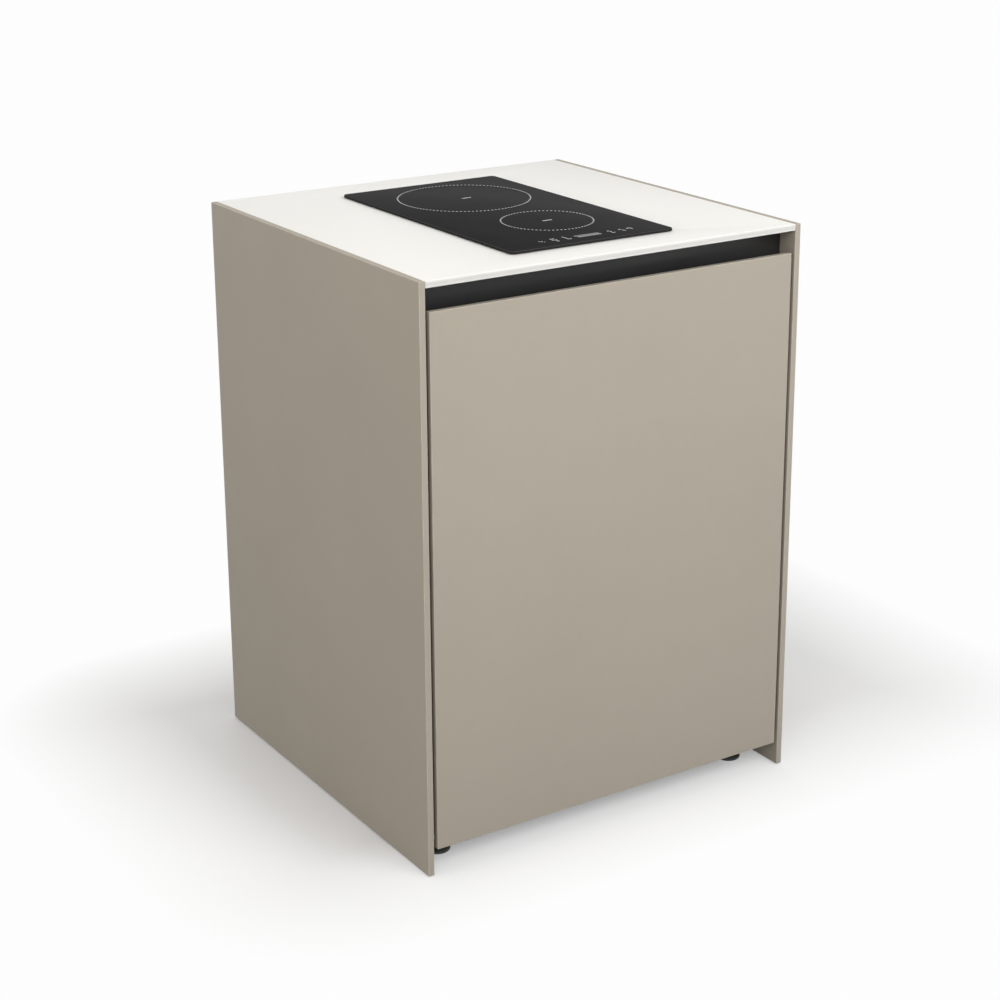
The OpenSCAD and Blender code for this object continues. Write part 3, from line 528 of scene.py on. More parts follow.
ALUMINIUM = Finish("carrier_aluminium", paint(200, 202, 204), 0.38, metallic=1.0, sheen=0.08,
                   grain=Grain.BRUSHED_Y, grain_scale=1400.0, grain_height=0.000012,
                   wear_and_highlight_colour=paint(226, 227, 228), wear_and_highlight=0.6)
SOLDER_MASK = Finish("circuit_board", paint(26, 84, 52), 0.35, tone=0.05, grain=Grain.BRUSHED_X,
                     grain_scale=500.0, speck=paint(198, 200, 190), speck_scale=260.0, speck_share=0.18, coat=0.2)
CHIP = Finish("circuit_board", paint(34, 34, 36), 0.5, tone=0.08, grain_scale=3000.0, label="chips")
CERAMIC = Finish("sensor_white", paint(228, 226, 218), 0.35, tone=0.02, grain_scale=1600.0, coat=0.2)
BEECH = Timber("beech", paint(206, 172, 126), 0.6, tone=0.05, grain=Grain.FIBRES, grain_height=0.00008)


def rounded(corners: Sequence[tuple[float, float, float]], steps: int = 5) -> list[Point2]:
    """Rounds the corners of a closed outline.

    Args:
        corners: Both coordinates and the radius of each corner.
        steps: Edges of a round corner.

    Returns:
        The outline's points.
    """
    points: list[Point2] = []
    for index, (x, y, radius) in enumerate(corners):
        if radius == 0:
            points.append((x, y))
            continue
        corner = Vector((x, y))
        before = (Vector(corners[index - 1][:2]) - corner).normalized()
        after = (Vector(corners[(index + 1) % len(corners)][:2]) - corner).normalized()
        half = before.angle(after) / 2
        centre = corner + (before + after).normalized() * radius / math.sin(half)
        start, end = (corner + way * radius / math.tan(half) - centre for way in (before, after))
        first = math.atan2(start.y, start.x)
        turn = (math.atan2(end.y, end.x) - first + math.pi) % math.tau - math.pi
        for step in range(steps + 1):
            angle = first + turn * step / steps
            points.append((centre.x + radius * math.cos(angle), centre.y + radius * math.sin(angle)))
    return points


def loft(bm: BMesh, rings: Sequence[Sequence[Vector]], closed: bool = False) -> list[Any]:
    """Joins rings of equally many points with faces.

    Args:
        bm: The mesh that takes the faces.
        rings: The rings, in order.
        closed: Whether the last ring joins the first, instead of both having a cap.

    Returns:
        The faces between the rings, ring after ring.
    """
    rows = [[bm.verts.new(point) for point in ring] for ring in rings]
    count = len(rows[0])
    nexts = rows[1:] + rows[:1] if closed else rows[1:]
    walls = [bm.faces.new((low[i], low[(i + 1) % count], high[(i + 1) % count], high[i]))
             for low, high in zip(rows, nexts) for i in range(count)]
    if not closed:
        bm.faces.new(rows[0][::-1])
        bm.faces.new(rows[-1])
    return walls


def revolve(bm: BMesh, profile: Sequence[Point2], place: Matrix, segments: int = 48) -> None:
    """Turns a closed profile about the local Z axis.

    Args:
        bm: The mesh that takes the shape.
        profile: Radius and height of each point.
        place: Where the local frame lies.
        segments: Faces round the axis.
    """
    angles = [math.tau * i / segments for i in range(segments)]
    loft(bm, [[place @ Vector((radius * math.cos(a), radius * math.sin(a), height)) for a in angles]
              for radius, height in profile], closed=True)


def prism(bm: BMesh, outline: Sequence[Point2], length: float, place: Matrix) -> None:
    """Pulls a closed outline of local X and Y along the local Z axis."""
    loft(bm, [[place @ Vector((x, y, z)) for x, y in outline] for z in (0.0, length)])


def block(bm: BMesh, low: Sequence[float], high: Sequence[float]) -> None:
    """Adds a rectangular block between two opposite corners."""
    outline = [(low[0], low[1]), (high[0], low[1]), (high[0], high[1]), (low[0], high[1])]
    prism(bm, outline, high[2] - low[2], Matrix.Translation((0, 0, low[2])))


def plate_outline(low: Point2, high: Point2, radius: float, steps: int) -> list[Point2]:
    """Gives the outline of a rectangle with round corners."""
    return rounded([(low[0], low[1], radius), (high[0], low[1], radius), (high[0], high[1], radius),
                    (low[0], high[1], radius)], steps)


def along_y(low: Vector, high: Vector) -> Matrix:
    """Gives the frame in the middle of a box's low end in Y, with its Z axis along Y."""
    turn = Vector((0, 1, 0)).to_track_quat("Z", "Y").to_matrix().to_4x4()
    return Matrix.Translation(((low.x + high.x) / 2, low.y, (low.z + high.z) / 2)) @ turn


# The frame whose local X, Y and Z axes lie along Y, Z and X
ALONG_X = Matrix(((0, 0, 1, 0), (1, 0, 0, 0), (0, 1, 0, 0), (0, 0, 0, 1)))
# The frame whose local X, Y and Z axes lie along Z, X and Y
ALONG_Y = Matrix(((0, 1, 0, 0), (0, 0, 1, 0), (1, 0, 0, 0), (0, 0, 0, 1)))


def ease(bm: BMesh, radius: float, segments: int = 2, least: float = 35.0) -> None:
    """Rounds the sharp edges and marks the new faces for the wear.

    Args:
        bm: The mesh.
        radius: Radius of the rounding.
        segments: Faces of the rounding.
        least: Angle in degrees from which an edge is sharp.
    """
    layer = bm.faces.layers.float.new("edge")
    limit = math.radians(least)
    sharp = [e for e in bm.edges if len(e.link_faces) == 2 and e.calc_face_angle(0) > limit]
    result = bmesh.ops.bevel(bm, geom=sharp, offset=radius, offset_type="OFFSET", segments=segments,
                             profile=0.5, affect="EDGES", clamp_overlap=False)
    for face in result["faces"]:
        face[layer] = 1.0


def mesh_of(bm: BMesh, name: str) -> Mesh:
    """Merges a mesh's doubles, turns its faces outwards and frees its working copy.

    Args:
        bm: The mesh, which is freed.
        name: Name of the mesh that is kept.

    Returns:
        The kept mesh.
    """
    bmesh.ops.remove_doubles(bm, verts=bm.verts, dist=WELD)
    bmesh.ops.dissolve_degenerate(bm, edges=bm.edges, dist=WELD / 10)
    bmesh.ops.recalc_face_normals(bm, faces=bm.faces)
    mesh = bpy.data.meshes.new(name)
    bm.to_mesh(mesh)
    bm.free()
    return mesh


def shown(mesh: Mesh, name: str, smooth: float) -> Piece:
    """Shades a mesh and puts it into the scene as a piece.

    Args:
        mesh: The mesh.
        name: Name of the piece.
        smooth: Angle in degrees up to which faces shade as one surface.

    Returns:
        The piece.
    """
    mesh.shade_smooth()
    mesh.set_sharp_from_angle(angle=math.radians(smooth))
    piece = bpy.data.objects.new(name, mesh)
    bpy.context.scene.collection.objects.link(piece)
    return piece


def node_mesh(node: str) -> BMesh:
    """Copies a node's mesh and merges its doubles.

    Args:
        node: Name of the node.

    Returns:
        The copy.
    """
    bm = bmesh.new()
    bm.from_mesh(frame["nodes"][node].data)
    bmesh.ops.remove_doubles(bm, verts=bm.verts, dist=WELD)
    return bm


def joined_mesh(node: str) -> BMesh:
    """Copies a node's mesh and joins its flat faces.

    Args:
        node: Name of the node.

    Returns:
        The copy.
    """
    bm = node_mesh(node)
    bmesh.ops.dissolve_limit(bm, angle_limit=math.radians(0.5), verts=bm.verts, edges=bm.edges)
    return bm


def solids_of(node: str) -> list[tuple[Vector, Vector]]:
    """Gives the box of each separate solid of a node.

    Args:
        node: Name of the node.

    Returns:
        The lowest and highest corner of each solid, sorted by place.
    """
    bm = node_mesh(node)
    left = set(bm.verts)
    boxes = []
    while left:
        group = [left.pop()]
        for vertex in group:
            for link in vertex.link_edges:
                other = link.other_vert(vertex)
                if other in left:
                    left.remove(other)
                    group.append(other)
        spans = [[vertex.co[axis] for vertex in group] for axis in range(3)]
        boxes.append((Vector([min(span) for span in spans]), Vector([max(span) for span in spans])))
    bm.free()
    return sorted(boxes, key=lambda box: tuple(round(value, 4) for value in box[0]))


def body_of(node: str) -> str:
    """Gives the name of the body that a node rides on."""
    return frame["nodes"][node]["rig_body"]


def wear_finish(thing: Piece, finish: Finish) -> None:
    """Gives a piece or a node its finish."""
    thing.data.materials.clear()
    thing.data.materials.append(finish.material())


def fit(piece: Piece, body: str, finish: Finish, *nodes: str) -> None:
    """Dresses a piece, lets it ride on a body and lets it stand for its nodes.

    Args:
        piece: The piece.
        body: Name of the body.
        finish: The piece's finish.
        nodes: Names of the nodes that it stands for.
    """
    wear_finish(piece, finish)
    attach(piece, body)
    if nodes:
        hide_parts(*nodes)
    LOG.info("%s rides on %s: %d faces", piece.name, body, len(piece.data.polygons))


def fit_shape(bm: BMesh, name: str, body: str, finish: Finish, *nodes: str, smooth: float = 25.0) -> None:
    """Makes a dressed piece of a mesh.

    Args:
        bm: The mesh, which is freed.
        name: Name of the piece.
        body: Name of the body that it rides on.
        finish: The piece's finish.
        nodes: Names of the nodes that it stands for.
        smooth: Angle in degrees up to which faces shade as one surface.
    """
    fit(shown(mesh_of(bm, name), name, smooth), body, finish, *nodes)


def eased(node: str, finish: Finish, radius: float, name: str, segments: int = 2) -> None:
    """Fits a copy of a node with eased edges in the node's place.

    Args:
        node: Name of the node.
        finish: Its finish.
        radius: Radius of the eased edges.
        name: Name of the piece.
        segments: Faces of an eased edge.
    """
    bm = joined_mesh(node)
    ease(bm, radius, segments)
    fit_shape(bm, name, body_of(node), finish, node)


class GeometryTree(OpenTree):
    """A Geometry Nodes tree with named inputs, baked into pieces."""

    def __init__(self, name: str, **inputs: Any) -> None:
        """Starts the tree with the defaults of its inputs."""
        super().__init__(name, "GeometryNodeTree", {"Geometry": "Geometry", **inputs, "Material": "Material"})

    def node(self, kind: str, inputs: dict[str | int, Any] | None = None, **settings: Any) -> Socket:
        """Adds a node of Geometry Nodes and gives its first output."""
        return self.add(f"GeometryNode{kind}", inputs, **settings).outputs[0]

    def vector(self, x: Any, y: Any, z: Any) -> Socket:
        """Makes one vector of three values."""
        return self.add("ShaderNodeCombineXYZ", {0: x, 1: y, 2: z}).outputs[0]

    def cube(self, x: Any, y: Any, z: Any) -> Socket:
        """Makes a block round the origin."""
        return self.node("MeshCube", {"Size": self.vector(x, y, z)})

    def moved(self, geometry: Socket, x: Any, y: Any, z: Any) -> Socket:
        """Moves a geometry."""
        return self.node("Transform", {"Geometry": geometry, "Translation": self.vector(x, y, z)})

    def aligned(self, direction: Socket, axis: str) -> Socket:
        """Gives the rotation that turns an axis to a direction."""
        return self.add("FunctionNodeAlignRotationToVector", {"Vector": direction}, axis=axis).outputs[0]

    def copies(self, points: Socket, shape: Socket, **inputs: Any) -> Socket:
        """Sets copies of a shape on points."""
        return self.node("InstanceOnPoints", {"Points": points, "Instance": shape, **inputs})

    def join(self, *parts: Socket) -> Socket:
        """Joins several geometries.

        Args:
            parts: The geometries.

        Returns:
            The joined geometry.
        """
        node = self.add("GeometryNodeJoinGeometry")
        for part in parts:
            self.tree.links.new(part, node.inputs[0])
        return node.outputs[0]

    def done(self, geometry: Socket) -> "GeometryTree":
        """Ends the tree with Realize Instances and Set Material.

        Args:
            geometry: What the tree has made.

        Returns:
            The tree itself.
        """
        real = self.node("RealizeInstances", {"Geometry": geometry})
        self.close(self.node("SetMaterial", {"Geometry": real, "Material": self["Material"]}), "Geometry")
        return self

    def centred(self, geometry: Socket) -> "GeometryTree":
        """Ends the tree after it has moved its geometry to the input Centre."""
        return self.done(self.node("Transform", {"Geometry": geometry, "Translation": self["Centre"]}))

    def bake(self, name: str, body: str, finish: Finish, values: dict[str, Any], *nodes: str,
             source: Mesh | None = None, smooth: float = 30.0) -> None:
        """Runs the tree on a mesh and makes a dressed piece of the plain mesh that it gives.

        Args:
            name: Name of the piece.
            body: Name of the body that it rides on.
            finish: The piece's finish.
            values: Values of the named inputs.
            nodes: Names of the nodes that it stands for.
            source: The mesh that goes in, or none.
            smooth: Angle in degrees up to which faces shade as one surface.
        """
        carrier = bpy.data.objects.new(f"{name}_source", source or bpy.data.meshes.new("nothing"))
        bpy.context.scene.collection.objects.link(carrier)
        modifier = carrier.modifiers.new("tree", "NODES")
        modifier.node_group = self.tree
        for label, value in {**values, "Material": finish.material()}.items():
            modifier[self.identifiers[label]] = value
        graph = bpy.context.evaluated_depsgraph_get()
        mesh = bpy.data.meshes.new_from_object(carrier.evaluated_get(graph), depsgraph=graph)
        carrier.modifiers.remove(modifier)
        bpy.data.objects.remove(carrier)
        mesh.name = name
        fit(shown(mesh, name, smooth), body, finish, *nodes)


@functools.cache
def screw_tree() -> GeometryTree:
    """Builds the tree that sets screws with a cross recess on points, facing along the axis of each.

    Returns:
        The tree.
    """
    tree = GeometryTree("screws", Rim_Radius=0.004, Face_Radius=0.0032, Head=0.0025, Shank_Radius=0.002,
                        Shank=0.008, Recess=0.0012)
    face, head, shank = tree["Face Radius"], tree["Head"], tree["Shank"]
    blank = tree.node("MeshCone", {
        "Vertices": 24, "Side Segments": 1, "Fill Segments": 1, "Radius Top": face,
        "Radius Bottom": tree["Rim Radius"], "Depth": head})
    long, thin = (tree.math("MULTIPLY", face, share) for share in (1.3, 0.26))
    deep = tree.math("MULTIPLY", tree["Recess"], 2.0)
    cross = tree.moved(tree.join(tree.cube(long, thin, deep), tree.cube(thin, long, deep)), 0.0, 0.0, head)
    cut = tree.node("MeshBoolean", {"Mesh 1": blank, "Mesh 2": cross}, operation="DIFFERENCE", solver="EXACT")
    rod = tree.node("MeshCylinder", {
        "Vertices": 16, "Side Segments": 1, "Fill Segments": 1, "Radius": tree["Shank Radius"], "Depth": shank})
    stem = tree.moved(rod, 0.0, 0.0, tree.math("MULTIPLY", shank, -0.5))
    axis = tree.node("InputNamedAttribute", {"Name": "axis"}, data_type="FLOAT_VECTOR")
    return tree.done(tree.copies(tree["Geometry"], tree.join(cut, stem), Rotation=tree.aligned(axis, "Z")))


@functools.cache
def ring_tree() -> GeometryTree:
    """Builds the tree that lays dashes along a circle.

    Returns:
        The tree.
    """
    tree = GeometryTree("dashed_ring", Centre=ORIGIN, Radius=0.1, Count=60, Dash=0.002, Width=0.002,
                        Height=0.0001)
    circle = tree.node("CurvePrimitiveCircle", {"Resolution": 256, 4: tree["Radius"]}, mode="RADIUS")
    points = tree.add("GeometryNodeCurveToPoints", {"Curve": circle, "Count": tree["Count"]}, mode="COUNT")
    dash = tree.cube(tree["Dash"], tree["Width"], tree["Height"])
    turn = tree.aligned(points.outputs["Tangent"], "X")
    return tree.centred(tree.copies(points.outputs["Points"], dash, Rotation=turn))


@functools.cache
def winding_tree() -> GeometryTree:
    """Builds the tree that winds a round wire along a flat spiral or a helix.

    Returns:
        The tree.
    """
    tree = GeometryTree("winding", Centre=ORIGIN, Inner=0.02, Outer=0.1, Turns=10.0, Rise=0.0, Wire=0.002,
                        Steps=48, Sides=8)
    spiral = tree.node("CurveSpiral", {
        "Resolution": tree["Steps"], "Rotations": tree["Turns"], "Start Radius": tree["Inner"],
        "End Radius": tree["Outer"], "Height": tree["Rise"]})
    section = tree.node("CurvePrimitiveCircle", {"Resolution": tree["Sides"], 4: tree["Wire"]}, mode="RADIUS")
    tube = tree.node("CurveToMesh", {"Curve": spiral, "Profile Curve": section, "Fill Caps": True})
    wound = tree.node("Transform", {"Geometry": tube, "Translation": tree["Centre"]})
    return tree.done(tree.join(wound, tree["Geometry"]))


@functools.cache
def radial_tree() -> GeometryTree:
    """Builds the tree that repeats a shape round the Z axis of a centre.

    Returns:
        The tree.
    """
    tree = GeometryTree("round_a_centre", Centre=ORIGIN, Count=6, First_Angle=0.0)
    line = tree.node("MeshLine", {"Count": tree["Count"], "Offset": ORIGIN}, mode="OFFSET")
    step = tree.math("DIVIDE", math.tau, tree["Count"])
    angle = tree.math("ADD", tree.math("MULTIPLY", tree.node("InputIndex"), step), tree["First Angle"])
    turn = tree.add("FunctionNodeEulerToRotation", {0: tree.vector(0.0, 0.0, angle)}).outputs[0]
    return tree.centred(tree.copies(line, tree["Geometry"], Rotation=turn))


@functools.cache
def row_tree() -> GeometryTree:
    """Builds the tree that repeats a shape in a straight row.

    Returns:
        The tree.
    """
    tree = GeometryTree("row", Start=ORIGIN, Step=(0.01, 0.0, 0.0), Count=5)
    line = tree.node("MeshLine", {"Count": tree["Count"], "Start Location": tree["Start"], "Offset": tree["Step"]},
                     mode="OFFSET")
    return tree.done(tree.copies(line, tree["Geometry"]))


@functools.cache
def chips_tree() -> GeometryTree:
    """Builds the tree that strews chips of uneven size over a circuit board.

    Returns:
        The tree.
    """
    tree = GeometryTree("chips", Centre=ORIGIN, Width=0.05, Depth=0.05, Columns=6, Rows=8, Share=0.6,
                        Height=0.002, Seed=7)
    grid = tree.node("MeshGrid", {"Size X": tree["Width"], "Size Y": tree["Depth"],
                                  "Vertices X": tree["Columns"], "Vertices Y": tree["Rows"]})
    chosen = tree.add("FunctionNodeRandomValue", {6: tree["Share"], 8: tree["Seed"]}, data_type="BOOLEAN")
    scale = tree.add("FunctionNodeRandomValue", {0: (0.5, 0.5, 0.4), 1: (1.5, 1.5, 1.0), 8: tree["Seed"]},
                     data_type="FLOAT_VECTOR")
    tall = tree["Height"]
    chip = tree.cube(tree.math("MULTIPLY", tall, 1.8), tree.math("MULTIPLY", tall, 1.4), tall)
    raised = tree.moved(chip, 0.0, 0.0, tree.math("MULTIPLY", tall, 0.5))
    return tree.centred(tree.copies(grid, raised, Selection=chosen.outputs[3], Scale=scale.outputs[0]))


def screw_sizes(radius: float, head: float, shank: float, recess: float) -> dict[str, float]:
    """Gives the screw tree's inputs for a head that gets narrower from its underside."""
    return {"Rim Radius": radius, "Face Radius": 0.8 * radius, "Head": head, "Shank Radius": radius / 2,
            "Shank": shank, "Recess": recess}


def set_screws(name: str, body: str, places: Sequence[Sequence[float]], axes: Sequence[Sequence[float]],
               sizes: dict[str, float], *nodes: str) -> None:
    """Sets a group of screws.

    Args:
        name: Name of the piece.
        body: Name of the body that it rides on.
        places: Where the undersides of the heads lie.
        axes: Directions that the heads face.
        sizes: Values of the screw tree's inputs.
        nodes: Names of the nodes that the screws stand for.
    """
    mesh = bpy.data.meshes.new("places")
    mesh.from_pydata([tuple(place) for place in places], [], [])
    layer = mesh.attributes.new("axis", "FLOAT_VECTOR", "POINT")
    for item, axis in zip(layer.data, axes):
        item.vector = axis
    screw_tree().bake(name, body, ZINC, sizes, *nodes, source=mesh)


def inwards(places: Sequence[Sequence[float]]) -> list[tuple[float, float, float]]:
    """Gives each place's direction along X to the unit's middle."""
    return [(-math.copysign(1, place[0]), 0, 0) for place in places]


@dataclass
class Covers:
    """The two thin cover panels at the unit's sides."""

    edge: float = 1.0 * MM

    def build(self) -> None:
        """Makes both panels with eased edges and dresses them."""
        for _, side in SIDES:
            eased(f"cover_{side}", TAUPE, self.edge, f"cover_{side}_panel", 3)


@dataclass
class Worktop:
    """The thin white worktop between the covers."""

    edge: float = 0.8 * MM

    def build(self) -> None:
        """Makes the worktop with eased edges and dresses it."""
        eased("worktop", WORKTOP_WHITE, self.edge, "worktop_slab", 3)


@dataclass
class GripChannel:
    """The recessed channel under the worktop's front edge, folded from one sheet."""

    sheet: float = 2 * MM
    corner: float = 6 * MM
    lip_setback: float = 8 * MM
    edge: float = 0.4 * MM
    least: float = 50.0

    def build(self) -> None:
        """Pulls the section from cover to cover and dresses it."""
        low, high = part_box("grip_channel")
        lip = low.y + self.lip_setback
        wall = high.y - self.sheet
        ceiling = high.z - self.sheet
        ground = low.z + self.sheet
        outer = self.corner + self.sheet
        section = rounded([
            (lip, low.z, 0), (high.y, low.z, outer), (high.y, high.z, outer), (low.y, high.z, 0),
            (low.y, ceiling, 0), (wall, ceiling, self.corner), (wall, ground, self.corner), (lip, ground, 0),
        ], 8)
        bm = bmesh.new()
        prism(bm, section, high.x - low.x, Matrix.Translation((low.x, 0, 0)) @ ALONG_X)
        bmesh.ops.recalc_face_normals(bm, faces=bm.faces)
        ease(bm, self.edge, 2, self.least)
        fit_shape(bm, "grip_channel_profile", "cabinet", CHANNEL, "grip_channel")


@dataclass
class Carcass:
    """The boards behind the covers, with what joins them."""

    edge: float = 0.5 * MM
    head: float = 2.5 * MM
    cover_head_r: float = 5 * MM
    cover_recess: float = 1.4 * MM
    bracket_edge: float = 0.4 * MM
    bracket_w: float = 40 * MM
    bracket_t: float = 2 * MM
    bracket_head_r: float = 4 * MM
    bracket_recess: float = 1.2 * MM
    bite: float = 6 * MM

    def build(self) -> None:
        """Makes the boards, the brackets and the screws, and lets the dowels keep their shape."""
        for node in ("carcass_side_left", "carcass_side_right", "carcass_base", "front_rail", "rear_rail"):
            eased(node, CARCASS, self.edge, f"{node}_board")
        wear_finish(frame["nodes"]["carcass_dowels"], BEECH)
        LOG.info("carcass_dowels keeps its own shape")
        eased("worktop_brackets", ZINC, self.bracket_edge, "worktop_angle_brackets")
        self.cover_screws()
        self.bracket_screws()

    def cover_screws(self) -> None:
        """Sets the screws that hold the covers, at the places that their node gives."""
        low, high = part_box("cover_screws")
        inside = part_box("carcass_side_right")[0].x
        rows_y = (low.y + self.cover_head_r, high.y - self.cover_head_r)
        rows_z = (low.z + self.cover_head_r, (low.z + high.z) / 2, high.z - self.cover_head_r)
        places = [(side * inside, y, z) for side, _ in SIDES for y in rows_y for z in rows_z]
        sizes = screw_sizes(self.cover_head_r, self.head, high.x - inside, self.cover_recess)
        set_screws("cover_fixing_screws", "cabinet", places, inwards(places), sizes, "cover_screws")

    def bracket_screws(self) -> None:
        """Sets the screws of the worktop brackets, one up and one sideways in each."""
        low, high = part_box("worktop_brackets")
        half_leg = (high.z - low.z) / 2
        places = []
        axes = []
        for side, _ in SIDES:
            for y in (low.y + self.bracket_w / 2, high.y - self.bracket_w / 2):
                places += [(side * (high.x - half_leg), y, high.z - self.bracket_t),
                           (side * (high.x - self.bracket_t), y, high.z - half_leg)]
                axes += [(0, 0, -1), (-side, 0, 0)]
        sizes = screw_sizes(self.bracket_head_r, self.head, self.bracket_t + self.bite, self.bracket_recess)
        set_screws("worktop_bracket_screws", "cabinet", places, axes, sizes, "worktop_screws")


@dataclass
class BackPanel:
    """The back with its ventilation slots, its screws and the grommet of the cable outlet."""

    edge: float = 0.8 * MM
    recess: float = 0.3 * MM
    screw_inset: float = 18 * MM
    screw_r: float = 3.5 * MM
    screw_shank: float = 6 * MM
    screw_recess: float = 1.3 * MM
    rows: int = 5
    grommet_bore: float = 20 * MM
    grommet_wall: float = 3 * MM
    collar: float = 5 * MM
    collar_t: float = 2.5 * MM
    collar_round: float = 1.6 * MM

    def panel(self) -> None:
        """Makes the panel, its outer face a little inside so that the screw heads end flush with it."""
        bm = joined_mesh("back_panel")
        face_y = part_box("back_panel")[1].y
        for vertex in bm.verts:
            if vertex.co.y > face_y - WELD:
                vertex.co.y -= self.recess
        ease(bm, self.edge, 3)
        fit_shape(bm, "back_panel_board", "cabinet", TAUPE_BACK, "back_panel")

    def screws(self) -> None:
        """Sets a column of countersunk screws along each side of the panel."""
        low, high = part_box("back_panel")
        bottom = low.z + 2 * self.screw_inset
        step = (high.z - self.screw_inset - bottom) / (self.rows - 1)
        head = 0.6 * self.screw_r
        places = [(side * (high.x - self.screw_inset), high.y - head, bottom + i * step)
                  for side, _ in SIDES for i in range(self.rows)]
        set_screws("back_panel_screws", "cabinet", places, [(0, 1, 0)] * len(places), {
            "Rim Radius": 0.5 * self.screw_r, "Face Radius": self.screw_r, "Head": head,
            "Shank Radius": 0.45 * self.screw_r, "Shank": self.screw_shank, "Recess": self.screw_recess})

    def grommet(self) -> None:
        """Turns the grommet with its rounded collar."""
        low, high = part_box("cable_grommet")
        wall = self.grommet_bore + self.grommet_wall
        rim = wall + self.collar
        depth = high.y - low.y
        step = depth - self.collar_t
        profile = rounded([
            (self.grommet_bore, 0, 0.6 * MM), (wall, 0, 0.8 * MM), (wall, step, 0), (rim, step, 0.3 * MM),
            (rim, depth, self.collar_round), (self.grommet_bore, depth, self.collar_round)])
        bm = bmesh.new()
        revolve(bm, profile, along_y(low, high), 72)
        fit_shape(bm, "cable_outlet_grommet", "cabinet", BLACK_PLASTIC, "cable_grommet")

    def build(self) -> None:
        """Makes the panel, its screws and the grommet."""
        self.panel()
        self.screws()
        self.grommet()


@dataclass
class Feet:
    """The four levelling feet: a ribbed pad with a hexagon, and a threaded stem."""

    pad_r: float = 20 * MM
    pad_t: float = 8 * MM
    pad_wall: float = 4.96 * MM
    pad_round: float = 3 * MM
    pad_bevel: float = 2 * MM
    hex_r: float = 9 * MM
    hex_h: float = 8 * MM
    hex_top: float = 0.8 * MM
    overlap: float = 0.5 * MM
    stem_r: float = 5 * MM
    pitch: float = 1.5 * MM
    thread: float = 0.5 * MM
    ribs: int = 20
    rib_half_w: float = 0.8 * MM
    rib_depth: float = 1.2 * MM

    def pad(self, foot: str, centre: Vector, ground: float) -> None:
        """Turns the pad, puts its hexagon on it and sets its grip ribs.

        Args:
            foot: Name of the foot's node.
            centre: Centre of the foot.
            ground: Height of the pad's underside.
        """
        bm = bmesh.new()
        place = Matrix.Translation((centre.x, centre.y, ground))
        revolve(bm, rounded([
            (0, 0, 0), (self.pad_r, 0, self.pad_round), (self.pad_r, self.pad_wall, 0.6 * MM),
            (self.pad_r - self.pad_bevel, self.pad_t, 1.2 * MM), (0, self.pad_t, 0)]), place, 64)
        corners = [(self.hex_r * math.cos(math.radians(a)), self.hex_r * math.sin(math.radians(a)), 0.5 * MM)
                   for a in range(0, 360, 60)]
        top = self.pad_t + self.hex_h
        levels = ((1, self.pad_t - 0.2 * MM), (1, top - self.hex_top), (0.9, top))
        loft(bm, [[place @ Vector((x * s, y * s, z)) for x, y in rounded(corners, 3)] for s, z in levels])
        fit_shape(bm, f"{foot}_pad", body_of(foot), BLACK_PLASTIC, foot)
        rib = bmesh.new()
        block(rib, (self.pad_r - self.rib_depth, -self.rib_half_w, self.pad_round),
              (self.pad_r, self.rib_half_w, self.pad_wall))
        ease(rib, 0.3 * MM, 1)
        radial_tree().bake(f"{foot}_grip_ribs", body_of(foot), BLACK_PLASTIC, {
            "Centre": (centre.x, centre.y, ground), "Count": self.ribs}, source=mesh_of(rib, "pad_rib"))

    def stem(self, foot: str, centre: Vector, low: float, high: float) -> None:
        """Winds the thread round the stem's core.

        Args:
            foot: Name of the foot's node.
            centre: Centre of the foot.
            low: Height of the stem's lower end.
            high: Height of the stem's upper end.
        """
        core_r = self.stem_r - self.thread
        length = high - low
        core = bmesh.new()
        profile = rounded([(0, 0, 0), (core_r, 0, 0), (core_r, length, 0.8 * MM), (0, length, 0)], 3)
        revolve(core, profile, Matrix.Translation((centre.x, centre.y, low)), 32)
        turns = (length - 2 * self.pitch) / self.pitch
        winding_tree().bake(f"{foot}_stem", body_of(foot), ZINC, {
            "Centre": (centre.x, centre.y, low + self.pitch / 2), "Inner": core_r, "Outer": core_r, "Turns": turns,
            "Rise": turns * self.pitch, "Wire": self.thread, "Steps": 24, "Sides": 5},
            source=mesh_of(core, "stem_core"), smooth=50.0)

    def build(self) -> None:
        """Makes the four feet."""
        for foot in (f"foot_{end}_{side}" for end in ("front", "rear") for _, side in SIDES):
            low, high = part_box(foot)
            centre = (low + high) / 2
            self.pad(foot, centre, low.z)
            self.stem(foot, centre, low.z + self.pad_t + self.hex_h - self.overlap, high.z)


